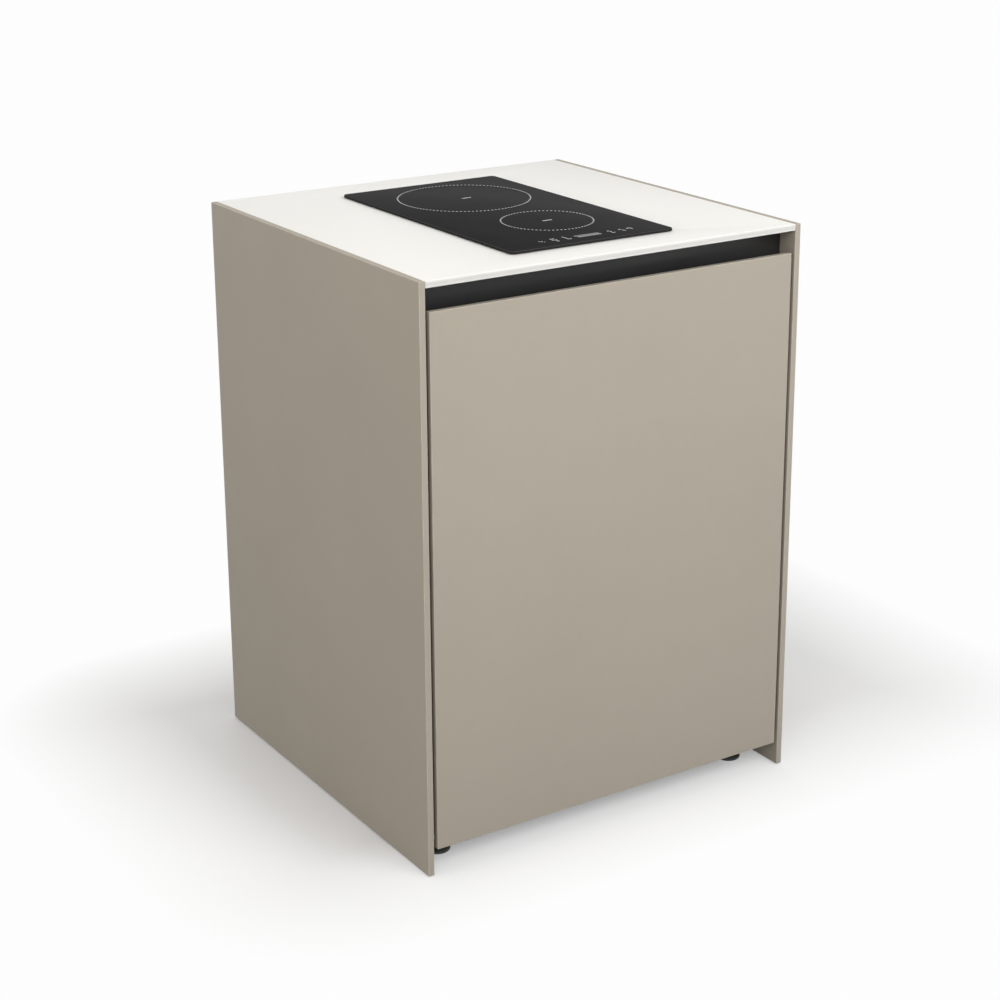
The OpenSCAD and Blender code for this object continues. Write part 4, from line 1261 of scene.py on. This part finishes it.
@dataclass
class FootSockets:
    """The sockets under the carcass base that the feet screw into."""

    flange_r: float = 25 * MM
    flange_t: float = 4 * MM
    sleeve_r: float = 10 * MM
    bore_r: float = 5.1 * MM
    ribs: int = 6
    rib_t: float = 2 * MM
    rib_start: float = 3 * MM
    rib_inset: float = 2 * MM
    overlap: float = 0.5 * MM

    def rib(self, under: float) -> Mesh:
        """Makes one rib between flange and sleeve, beside the Z axis.

        Args:
            under: Height of the flange's underside.

        Returns:
            The rib's mesh.
        """
        inner = self.sleeve_r - self.overlap
        outer = self.flange_r - self.rib_inset
        side = [(inner, self.rib_start), (self.sleeve_r + 1 * MM, self.rib_start), (outer, under - 1 * MM),
                (outer, under + self.overlap), (inner, under + self.overlap)]
        bm = bmesh.new()
        prism(bm, side, self.rib_t, Matrix(((1, 0, 0, 0), (0, 0, -1, self.rib_t / 2), (0, 1, 0, 0), (0, 0, 0, 1))))
        return mesh_of(bm, "socket_rib")

    def build(self) -> None:
        """Turns the four sockets as one piece and sets ribs between flange and sleeve."""
        low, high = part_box("foot_sockets")
        height = high.z - low.z
        under = height - self.flange_t
        places = [(x, y, low.z) for x in (low.x + self.flange_r, high.x - self.flange_r)
                  for y in (low.y + self.flange_r, high.y - self.flange_r)]
        profile = rounded([
            (self.bore_r, 0, 0.4 * MM), (self.sleeve_r, 0, 0.8 * MM), (self.sleeve_r, under, 2 * MM),
            (self.flange_r, under, 1 * MM), (self.flange_r, height, 0.4 * MM), (self.bore_r, height, 0.3 * MM)], 4)
        bm = bmesh.new()
        for place in places:
            revolve(bm, profile, Matrix.Translation(place), 56)
        fit_shape(bm, "foot_socket_bodies", "cabinet", BLACK_PLASTIC, "foot_sockets")
        for index, place in enumerate(places):
            radial_tree().bake(f"foot_socket_ribs_{index}", "cabinet", BLACK_PLASTIC, {
                "Centre": place, "Count": self.ribs, "First Angle": math.pi / self.ribs}, source=self.rib(under))


@dataclass
class Runners:
    """The full-extension runners: three nested members at each side, with their screws and stops."""

    edge: float = 0.35 * MM
    carcass_in: float = 309 * MM
    screw_r: float = 3.2 * MM
    screw_head: float = 1.6 * MM
    screw_shank: float = 12 * MM
    screw_recess: float = 0.8 * MM
    cabinet_web: float = 1.5 * MM
    stop_low: float = 7.2 * MM
    stop_high: float = 9.6 * MM
    stop_start: float = 1 * MM
    stop_length: float = 24 * MM
    stop_half_h: float = 9 * MM
    stop_round: float = 0.6 * MM
    levels: tuple[str, ...] = ("lower", "upper")
    screw_places: tuple[float, ...] = (0.07, 0.3, 0.62, 0.93)

    def members(self) -> None:
        """Makes every member with eased folds."""
        for level in self.levels:
            for _, side in SIDES:
                for kind in ("cabinet", "middle"):
                    eased(f"{level}_{kind}_rail_{side}", ZINC, self.edge, f"{level}_{kind}_member_{side}", 1)
            eased(f"{level}_drawer_rails", ZINC, self.edge, f"{level}_drawer_members", 1)

    def fixing_screws(self) -> None:
        """Sets flat-headed screws through the cabinet members' webs."""
        places = []
        for level in self.levels:
            low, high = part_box(f"{level}_cabinet_rail_right")
            places += [(side * (self.carcass_in - self.cabinet_web), low.y + share * (high.y - low.y),
                        (low.z + high.z) / 2) for side, _ in SIDES for share in self.screw_places]
        sizes = screw_sizes(self.screw_r, self.screw_head, self.screw_shank, self.screw_recess)
        set_screws("runner_screws", "cabinet", places, inwards(places), sizes)

    def end_stops(self) -> None:
        """Puts a moulded stop into the front end of each middle member."""
        for level, (sign, side) in itertools.product(self.levels, SIDES):
            node = f"{level}_middle_rail_{side}"
            low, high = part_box(node)
            middle = (low.z + high.z) / 2
            start = low.y + self.stop_start
            xs = sorted(sign * (self.carcass_in - depth) for depth in (self.stop_low, self.stop_high))
            bm = bmesh.new()
            block(bm, (xs[0], start, middle - self.stop_half_h),
                  (xs[1], start + self.stop_length, middle + self.stop_half_h))
            ease(bm, self.stop_round)
            fit_shape(bm, f"{level}_runner_stop_{side}", body_of(node), BLACK_PLASTIC)

    def build(self) -> None:
        """Makes the members, the screws and the stops."""
        self.members()
        self.fixing_screws()
        self.end_stops()


@dataclass
class DrawerSide:
    """A drawer side folded from sheet, with a round top and two long beads."""

    top_r: float = 5.6 * MM
    edge: float = 0.6 * MM
    bead: float = 1 * MM
    bead_w: float = 5 * MM
    bead_r: float = 0.4 * MM
    bead_places: tuple[float, float] = (0.3, 0.72)

    def beads(self, x: float, depth: float, heights: Sequence[float]) -> list[tuple[float, float, float]]:
        """Gives the corners of a face's beads, from the lowest to the highest.

        Args:
            x: Where the face lies.
            depth: How far the beads are sunk along X.
            heights: Heights of the beads' middles.

        Returns:
            Both coordinates and the radius of each corner.
        """
        half = self.bead_w / 2
        steps = ((0.0, -half), (depth, self.bead - half), (depth, half - self.bead), (0.0, half))
        return [(x + shift, z + step, self.bead_r) for z in heights for shift, step in steps]

    def build(self, node: str) -> None:
        """Pulls the section, with a bead sunk into each face, along the drawer and dresses it.

        Args:
            node: Name of the side's node.
        """
        low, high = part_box(node)
        heights = [low.z + share * (high.z - low.z) for share in self.bead_places]
        section = rounded([
            (high.x, low.z, self.edge), *self.beads(high.x, -self.bead, heights), (high.x, high.z, self.top_r),
            (low.x, high.z, self.top_r), *self.beads(low.x, self.bead, heights)[::-1], (low.x, low.z, self.edge)], 4)
        bm = bmesh.new()
        prism(bm, [(z, x) for x, z in section], high.y - low.y, Matrix.Translation((0, low.y, 0)) @ ALONG_Y)
        fit_shape(bm, f"{node}_profile", body_of(node), DRAWER, node, smooth=35.0)


@dataclass
class PullOut:
    """The front with the deep drawer behind it."""

    front_edge: float = 1.0 * MM
    edge: float = 0.6 * MM
    board_edge: float = 0.4 * MM
    rail_r: float = 4.6 * MM
    rail_inset: float = 1 * MM
    socket_r: float = 5.8 * MM
    socket_l: float = 16 * MM
    bracket_w: float = 22 * MM
    bracket_t: float = 2 * MM
    screw_r: float = 3.2 * MM
    screw_inset: float = 14 * MM
    screw_head: float = 1.8 * MM
    screw_shank: float = 8 * MM
    screw_recess: float = 1 * MM

    def bumpers(self) -> None:
        """Turns the domed bumpers."""
        bm = bmesh.new()
        for low, high in solids_of("front_bumpers"):
            radius = (high.x - low.x) / 2
            depth = high.y - low.y
            revolve(bm, rounded([(0, 0, 0), (radius, 0, 0.1 * MM), (radius, 0.45 * depth, 0.5 * MM),
                                 (0.6 * radius, depth, 1.2 * MM), (0, depth, 0)]), along_y(low, high), 32)
        fit_shape(bm, "soft_bumpers", "pullout", BUMPER, "front_bumpers", smooth=40.0)

    def bracket_screws(self) -> None:
        """Sets two screws in each leg of the front brackets that lies on the front panel."""
        low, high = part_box("front_brackets")
        x = high.x - (self.bracket_w + self.bracket_t) / 2
        places = [(side * x, low.y + self.bracket_t, z) for side, _ in SIDES
                  for z in (low.z + self.screw_inset, high.z - self.screw_inset)]
        sizes = screw_sizes(self.screw_r, self.screw_head, self.screw_shank, self.screw_recess)
        set_screws("front_bracket_screws", "pullout", places, [(0, 1, 0)] * len(places), sizes)

    def gallery(self) -> None:
        """Turns the gallery rails, each with a moulded socket at both ends."""
        rails = bmesh.new()
        sockets = bmesh.new()
        for low, high in solids_of("gallery_rails"):
            place = along_y(low, high)
            length = high.y - low.y
            start, end = self.rail_inset, length - self.rail_inset
            revolve(rails, [(0, start), (self.rail_r, start), (self.rail_r, end), (0, end)], place, 32)
            for start in (0.0, length - self.socket_l):
                end = start + self.socket_l
                revolve(sockets, rounded([(0, start, 0), (self.socket_r, start, 0.6 * MM),
                                          (self.socket_r, end, 0.6 * MM), (0, end, 0)], 4), place, 32)
        fit_shape(rails, "gallery_rail_tubes", "pullout", ZINC, "gallery_rails")
        fit_shape(sockets, "gallery_rail_sockets", "pullout", DRAWER)

    def build(self) -> None:
        """Makes the front with its brackets and bumpers, and the deep drawer."""
        eased("front_panel", TAUPE, self.front_edge, "front_panel_board", 3)
        eased("front_brackets", ZINC, self.board_edge, "front_fixing_brackets")
        self.bumpers()
        self.bracket_screws()
        for _, side in SIDES:
            DrawerSide().build(f"deep_drawer_side_{side}")
        eased("deep_drawer_back", DRAWER, self.edge, "deep_drawer_back_wall")
        eased("deep_drawer_base", DRAWER_BOARD, self.board_edge, "deep_drawer_base_board")
        self.gallery()


@dataclass
class InnerDrawer:
    """The drawer behind the same front, under the hob."""

    edge: float = 0.6 * MM
    board_edge: float = 0.4 * MM

    def build(self) -> None:
        """Makes the sides, front, back and base."""
        for _, side in SIDES:
            DrawerSide().build(f"inner_drawer_side_{side}")
        eased("inner_drawer_front", DRAWER, self.edge, "inner_drawer_front_rail")
        eased("inner_drawer_back", DRAWER, self.edge, "inner_drawer_back_wall")
        eased("inner_drawer_base", DRAWER_BOARD, self.board_edge, "inner_drawer_base_board")


@dataclass
class HobTop:
    """The hob's glass with its printed zones and touch controls. Places are from the glass's front middle.

    The tables of the prints are in millimetres. A ring has x, y, outer radius and line width, and is a dot where both
    are alike. A bar has x, y, width, depth and the angle in degrees that it is turned by.
    """

    corner: float = 8 * MM
    chamfer: float = 0.9 * MM
    base_chamfer: float = 0.3 * MM
    ink: float = 0.1 * MM
    wall_frost: float = 0.3
    zones: tuple[tuple[str, float, float, float], ...] = (("rear", 3.6, 366.3, 105.9), ("front", 17.7, 150.8, 70.5))
    ring_pitch: float = 6.2 * MM
    dash: float = 3.1 * MM
    line: float = 2.2 * MM
    zone_bars: tuple[tuple[float, ...], ...] = ((6.3, 363.8, 17, 3, 0), (17.8, 150.6, 17, 3, 0))
    touch_rings: tuple[tuple[float, ...], ...] = (
        (-74.5, 34.3, 1.3, 1.3), (-71.4, 32, 1.8, 1.8), (-68.7, 28.2, 1.2, 1.2), (-51.6, 38.7, 1.9, 1.9),
        (-46.5, 40, 1.5, 1.5), (-50, 30.8, 4.4, 1.5), (-48.8, 22.9, 1.9, 1.9), (-25.7, 25.3, 2, 2),
        (49.4, 37, 1.8, 1.8), (51.4, 32.5, 1.9, 1.9), (71.8, 30.2, 1.9, 1.9), (73, 26.2, 1.6, 1.6))
    touch_bars: tuple[tuple[float, ...], ...] = (
        (-29.2, 34.5, 2, 16, 4), (-28, 25.6, 4, 2, 0), (50.8, 24.6, 6.5, 2.4, 0), (69.8, 36.2, 5, 3, 0),
        (84.8, 36.5, 4.5, 4, 0), (89.5, 37.2, 3.4, 3, 0), (89.6, 32.5, 2.2, 5, 0))
    slider: tuple[float, ...] = (10.5, 29, 42, 6.5, 0)
    tick_start: Point2 = (-11 * MM, 35.8 * MM)
    tick_half: Point2 = (1.2 * MM, 2.6 * MM)
    tick_pitch: float = 3.4 * MM
    ticks: int = 13
    gasket_edge: float = 0.25 * MM

    def plate(self) -> None:
        """Makes the glass plate with its ground chamfer."""
        low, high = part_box("hob_glass")
        top = high.z - self.ink
        levels = [(self.base_chamfer, low.z), (0.0, low.z + self.base_chamfer), (0.0, top - self.chamfer),
                  (self.chamfer * 0.3, top - 0.3 * self.chamfer), (self.chamfer, top)]
        bm = bmesh.new()
        layer = bm.faces.layers.float.new("edge")
        rings = []
        for inset, z in levels:
            outline = plate_outline((low.x + inset, low.y + inset), (high.x - inset, high.y - inset),
                                    self.corner - inset, 8)
            rings.append([Vector((x, y, z)) for x, y in outline])
        walls = loft(bm, rings)
        count = len(rings[0])
        for index, face in enumerate(walls[count:]):
            face[layer] = self.wall_frost if index < count else 1.0
        fit_shape(bm, "hob_glass_plate", "cabinet", GLASS, "hob_glass")

    def at(self, x: float, y: float, z: float = 0.0) -> Vector:
        """Gives the place above the glass's front middle, from the underside of the ink."""
        low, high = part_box("hob_glass")
        return Vector(((low.x + high.x) / 2 + x, low.y + y, high.z - self.ink + z))

    def zone_rings(self) -> None:
        """Prints the dashed ring of each zone."""
        for name, *sizes in self.zones:
            x, y, radius = (size * MM for size in sizes)
            ring_tree().bake(f"{name}_zone_ring", "cabinet", INK, {
                "Centre": tuple(self.at(x, y, self.ink / 2)), "Radius": radius,
                "Count": round(math.tau * radius / self.ring_pitch), "Dash": self.dash, "Width": self.line,
                "Height": self.ink})

    def prints(self, name: str, finish: Finish, bars: Sequence[Sequence[float]],
               rings: Sequence[Sequence[float]] = ()) -> None:
        """Prints bars with round corners and small rings or dots as one piece.

        Args:
            name: Name of the piece.
            finish: Its ink.
            bars: Rows of a bar table.
            rings: Rows of a ring table.
        """
        bm = bmesh.new()
        for x, y, radius, line in rings:
            inner = max(radius - line, 0.0)
            profile = [(r * MM, h) for r, h in ((inner, 0), (radius, 0), (radius, self.ink), (inner, self.ink))]
            revolve(bm, profile, Matrix.Translation(self.at(x * MM, y * MM)), 24)
        for x, y, width, depth, turn in bars:
            half = (width * MM / 2, depth * MM / 2)
            outline = plate_outline((-half[0], -half[1]), half, 0.6 * min(half), 3)
            spin = Matrix.Rotation(math.radians(turn), 4, "Z")
            prism(bm, outline, self.ink, Matrix.Translation(self.at(x * MM, y * MM)) @ spin)
        fit_shape(bm, name, "cabinet", finish)

    def build(self) -> None:
        """Makes the plate, its prints with the row of ticks above the slider, and its gasket."""
        self.plate()
        self.zone_rings()
        self.prints("zone_centre_marks", INK, self.zone_bars)
        self.prints("touch_control_marks", INK_SOFT, self.touch_bars, self.touch_rings)
        self.prints("touch_slider_bar", INK_DIM, [self.slider])
        tick = bmesh.new()
        block(tick, (-self.tick_half[0], -self.tick_half[1], 0), (*self.tick_half, self.ink))
        row_tree().bake("touch_slider_ticks", "cabinet", INK_DIM, {
            "Start": tuple(self.at(*self.tick_start)), "Step": (self.tick_pitch, 0.0, 0.0), "Count": self.ticks},
            source=mesh_of(tick, "tick"))
        eased("hob_gasket", FOAM, self.gasket_edge, "hob_foam_gasket")


@dataclass
class FanBlade:
    """One curved blade of the fan, beside the Z axis. Angles are in degrees."""

    root: float = 12 * MM
    span: float = 22.5 * MM
    lean: Point2 = (-18, 26)
    chord: Point2 = (44, -12)
    pitch: float = 0.84
    half_t: float = 0.6 * MM
    air: float = 0.3 * MM
    steps: int = 6

    def mesh(self, height: float) -> Mesh:
        """Lofts the blade from its root to its tip.

        Args:
            height: Height of the rotor.

        Returns:
            The blade's mesh.
        """
        bm = bmesh.new()
        rings = []
        for share in (step / self.steps for step in range(self.steps + 1)):
            radius = self.root + share * self.span
            lean = math.radians(self.lean[0] + self.lean[1] * share)
            chord = math.radians(self.chord[0] + self.chord[1] * share)
            ring = []
            for skin in (1, -1):
                for part in range(self.steps + 1)[::skin]:
                    along = part / self.steps - 0.5
                    angle = lean + along * chord
                    lift = height * (0.5 - self.pitch * along) + skin * self.half_t
                    lift = min(max(lift, self.air), height - self.air)
                    ring.append(Vector((radius * math.cos(angle), radius * math.sin(angle), lift)))
            rings.append(ring)
        loft(bm, rings)
        return mesh_of(bm, "fan_blade")


@dataclass
class HobBody:
    """What lies under the hob's glass: tray, coils, boards, fan and terminal box."""

    edge: float = 0.4 * MM
    sheet_edge: float = 0.3 * MM
    box_edge: float = 0.8 * MM
    sensor_edge: float = 0.6 * MM
    coil_hole: float = 14 * MM
    coil_pitch: float = 6 * MM
    wire: float = 2.7 * MM
    board_t: float = 1.6 * MM
    chips_x: float = 0.56
    chip_field: Point2 = (22 * MM, 150 * MM)
    chip_h: float = 2.4 * MM
    blades: int = 7
    hub_r: float = 13 * MM
    pin_r: float = 1.55 * MM

    def coils(self) -> None:
        """Winds both coils as one spiral wire each, and makes their carriers, ferrite bars and sensors."""
        for node in ("rear_coil", "front_coil"):
            low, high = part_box(node)
            outer = (high.x - low.x) / 2 - self.wire
            inner = self.coil_hole + self.wire
            winding_tree().bake(f"{node}_winding", "cabinet", COPPER, {
                "Centre": tuple((low + high) / 2), "Inner": inner, "Outer": outer,
                "Turns": (outer - inner) / self.coil_pitch, "Wire": self.wire, "Steps": 64, "Sides": 12}, node)
            eased(f"{node}_carrier", ALUMINIUM, self.edge, f"{node}_carrier_plate")
        eased("ferrite_bars", FERRITE, self.edge, "ferrite_bar_stars")
        eased("coil_sensors", CERAMIC, self.sensor_edge, "coil_temperature_sensors")

    def boards(self) -> None:
        """Makes both circuit boards and the heat sink, and strews chips over the power board."""
        eased("power_board", SOLDER_MASK, self.sheet_edge, "power_circuit_board")
        eased("control_board", SOLDER_MASK, self.sheet_edge, "touch_circuit_board")
        eased("heat_sink", ALUMINIUM, self.sheet_edge, "heat_sink_fins", 1)
        low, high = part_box("power_board")
        place = (low.x + self.chips_x * (high.x - low.x), (low.y + high.y) / 2, low.z + self.board_t)
        chips_tree().bake("power_board_chips", "cabinet", CHIP, {
            "Centre": place, "Width": self.chip_field[0], "Depth": self.chip_field[1], "Columns": 4, "Rows": 16,
            "Share": 0.6, "Height": self.chip_h, "Seed": 11})

    def fan(self) -> None:
        """Makes the fan's housing, and its rotor of a turned hub and curved blades."""
        eased("fan_housing", BLACK_PLASTIC, self.edge, "fan_housing_frame")
        low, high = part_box("fan_rotor")
        centre = ((low.x + high.x) / 2, (low.y + high.y) / 2, low.z)
        height = high.z - low.z
        bm = bmesh.new()
        profile = rounded([(self.pin_r, 0, 0), (self.hub_r, 0, 0.5 * MM), (self.hub_r, height, 1.6 * MM),
                           (self.pin_r, height, 0.4 * MM)])
        revolve(bm, profile, Matrix.Translation(centre), 56)
        fit_shape(bm, "fan_hub", "fan", BLACK_PLASTIC, "fan_rotor")
        radial_tree().bake("fan_blades", "fan", BLACK_PLASTIC, {"Centre": centre, "Count": self.blades},
                           source=FanBlade().mesh(height))

    def build(self) -> None:
        """Makes everything under the glass."""
        eased("hob_tray", SHEET, self.sheet_edge, "hob_tray_pan", 1)
        eased("hob_clamps", ZINC, self.edge, "hob_clamp_straps", 1)
        eased("terminal_box", BLACK_PLASTIC, self.box_edge, "terminal_box_case")
        eased("heat_shield", SHEET, self.sheet_edge, "heat_shield_sheet", 1)
        self.coils()
        self.boards()
        self.fan()


@dataclass(frozen=True)
class Lamp:
    """A rectangular soft light."""

    name: str
    place: tuple[float, float, float]
    target: tuple[float, float, float]
    width: float
    height: float
    power: float
    colour: Colour = (1.0, 1.0, 1.0)

    def build(self) -> None:
        """Puts the light into the scene, turned to its target."""
        light = bpy.data.lights.new(self.name, "AREA")
        light.color = self.colour
        light.shape = "RECTANGLE"
        light.size = self.width
        light.size_y = self.height
        light.energy = self.power
        lamp = bpy.data.objects.new(self.name, light)
        aim = Vector(self.target) - Vector(self.place)
        lamp.matrix_world = Matrix.Translation(self.place) @ aim.to_track_quat("-Z", "Y").to_matrix().to_4x4()
        lamp.visible_glossy = False
        bpy.context.scene.collection.objects.link(lamp)


class LightGraph(Graph):
    """A graph of the studio's own shaders."""

    def rays(self, *kinds: str) -> Socket:
        """Tells whether a ray is of one of some kinds."""
        path = self.add("ShaderNodeLightPath")
        return self.chain("MAXIMUM", *(path.outputs[f"Is {kind} Ray"] for kind in kinds))

    def blend(self, share: Socket, first: Socket, second: Socket) -> Socket:
        """Mixes two shaders by the share of the second."""
        return self.add("ShaderNodeMixShader", {0: share, 1: first, 2: second}).outputs[0]

    def glow(self, strength: Any) -> Socket:
        """Adds a white light of its own."""
        return self.add("ShaderNodeEmission", {"Strength": strength}).outputs[0]

    def matt(self, grey: float) -> Socket:
        """Adds a matt grey surface."""
        return self.add("ShaderNodeBsdfDiffuse", {"Color": (grey,) * 3}).outputs[0]

    def apart(self, place: Sequence[float]) -> Socket:
        """Gives the vector from a place."""
        return self.vector_math("SUBTRACT", self.place(), place).outputs[0]

    def length(self, vector: Socket) -> Socket:
        """Measures a vector."""
        return self.vector_math("LENGTH", vector).outputs["Value"]


@dataclass
class Studio:
    """The pale floor, the white surroundings, the soft lights and the camera."""

    focal: float = 2090.5
    picture: float = 1000.0
    sensor: float = 36.0
    azimuth: float = -32.63
    tilt: float = 16.94
    roll: float = -0.33
    shift: float = -0.1
    place: tuple[float, float, float] = (-1.7177, -2.6857, 1.5667)
    floor_r: float = 30.0
    floor_corners: int = 96
    white: float = 0.985
    floor_seen: float = 0.82
    floor_lift: float = 0.055
    floor_bounce: float = 0.4
    fade_centre: tuple[float, float, float] = (0.12, 0.11, 0.0)
    fade_half: tuple[float, float, float] = (0.54, 0.296, 1.0)
    fade_reach: Point2 = (0.0, 0.3)
    # A floor patch that glows only in reflections: a painted reflection on the grip channel and the hob glass
    glint_place: tuple[float, float, float] = (2.68, -3.17, 0.0)
    glint_reach: Point2 = (0.25, 0.9)
    glint_light: Point2 = (2.0, 0.75)
    ambient: float = 0.4
    lamps: tuple[Lamp, ...] = (
        Lamp("front_softbox", (0.9, -2.9, 2.5), (0.0, -0.3, 0.6), 2.4, 1.6, 55.4),
        Lamp("low_softbox", (0.3, -3.4, 1.6), (0.0, -0.3, 0.6), 2.4, 2.0, 17.9),
        Lamp("top_softbox", (-0.2, 0.3, 3.2), (0.0, 0.1, 0.6), 2.0, 2.0, 12.0),
        Lamp("left_softbox", (-3.0, 0.2, 1.8), (0.0, 0.0, 0.6), 1.6, 1.6, 18.3, WARM),
        Lamp("left_front_softbox", (-2.8, -2.4, 2.0), (0.0, 0.0, 0.5), 1.6, 1.6, 26.5, WARM),
        Lamp("right_front_softbox", (2.4, -2.6, 1.8), (0.0, 0.0, 0.6), 1.6, 1.6, 5.9),
        Lamp("back_softbox", (0.4, 3.0, 1.5), (0.0, 0.0, 0.5), 2.4, 1.4, 19.0),
    )

    def camera(self) -> None:
        """Sets up the camera at the viewing angle of the picture. A small lens shift keeps the uprights upright."""
        a, e, r = (math.radians(angle) for angle in (self.azimuth, self.tilt, self.roll))
        back = Vector((math.sin(a) * math.cos(e), -math.cos(a) * math.cos(e), math.sin(e)))
        level = (-back).cross(Vector((0, 0, 1))).normalized()
        above = level.cross(-back)
        right = math.cos(r) * level + math.sin(r) * above
        up = -math.sin(r) * level + math.cos(r) * above
        data = bpy.data.cameras.new("camera")
        data.sensor_fit = "HORIZONTAL"
        data.sensor_width = self.sensor
        data.lens = self.sensor * self.focal / self.picture
        data.shift_y = self.shift
        camera = bpy.data.objects.new("camera", data)
        camera.matrix_world = Matrix.Translation(self.place) @ Matrix((right, up, back)).transposed().to_4x4()
        bpy.context.scene.collection.objects.link(camera)
        bpy.context.scene.camera = camera

    def surroundings(self) -> None:
        """Lights the scene evenly and shows white to the camera, to gloss and through glass."""
        world = bpy.data.worlds.new("studio")
        world.use_nodes = True
        world.node_tree.nodes.clear()
        graph = LightGraph(world.node_tree)
        dim, bright = (graph.add("ShaderNodeBackground", {"Color": (1.0, 1.0, 1.0), "Strength": strength}).outputs[0]
                       for strength in (self.ambient, self.white))
        graph.add("ShaderNodeOutputWorld", {
            "Surface": graph.blend(graph.rays("Camera", "Glossy", "Transmission"), dim, bright)})
        bpy.context.scene.world = world

    def floor_material(self) -> bpy.types.Material:
        """Builds the floor's material: pale to the camera, with the object's shadow, and with a bright card in gloss.

        Returns:
            The material.
        """
        material = bpy.data.materials.new("studio_floor")
        material.use_nodes = True
        material.node_tree.nodes.clear()
        graph = LightGraph(material.node_tree)
        aside = graph.vector_math("ABSOLUTE", graph.apart(self.fade_centre)).outputs[0]
        beyond = graph.vector_math("SUBTRACT", aside, self.fade_half).outputs[0]
        outside = graph.vector_math("MAXIMUM", beyond, ORIGIN).outputs[0]
        fade = graph.spread(graph.length(outside), *self.fade_reach, 0.0, 1.0)
        near = graph.add("ShaderNodeAddShader", {0: graph.matt(self.floor_seen), 1: graph.glow(self.floor_lift)})
        seen = graph.blend(fade, near.outputs[0], graph.glow(self.white))
        first = graph.blend(graph.rays("Camera"), graph.matt(self.floor_bounce), seen)
        # Painted reflection: the patch glows for glossy and transmitted rays only
        glint = graph.spread(graph.length(graph.apart(self.glint_place)), *self.glint_reach, *self.glint_light)
        last = graph.blend(graph.rays("Glossy", "Transmission"), first, graph.glow(glint))
        graph.add("ShaderNodeOutputMaterial", {"Surface": last})
        return material

    def floor(self) -> None:
        """Lays the round floor."""
        angles = [math.tau * i / self.floor_corners for i in range(self.floor_corners)]
        mesh = bpy.data.meshes.new("floor")
        mesh.from_pydata([(self.floor_r * math.cos(a), self.floor_r * math.sin(a), 0) for a in angles], [],
                         [range(self.floor_corners)])
        floor = bpy.data.objects.new("floor", mesh)
        bpy.context.scene.collection.objects.link(floor)
        mesh.materials.append(self.floor_material())

    def build(self) -> None:
        """Sets up the camera, the surroundings, the floor and the lights."""
        bpy.context.scene.view_settings.view_transform = "Standard"
        self.camera()
        self.surroundings()
        self.floor()
        for lamp in self.lamps:
            lamp.build()


def main() -> None:
    """Builds the studio and every sub-assembly, and reports each piece."""
    logging.basicConfig(level=logging.INFO, format="%(message)s")
    Studio().build()
    parts = (Covers(), Worktop(), GripChannel(), Carcass(), BackPanel(), Feet(), FootSockets(), Runners(),
             PullOut(), InnerDrawer(), HobTop(), HobBody())
    for part in parts:
        LOG.info("%s", type(part).__doc__)
        part.build()


if __name__ == "__main__":
    main()
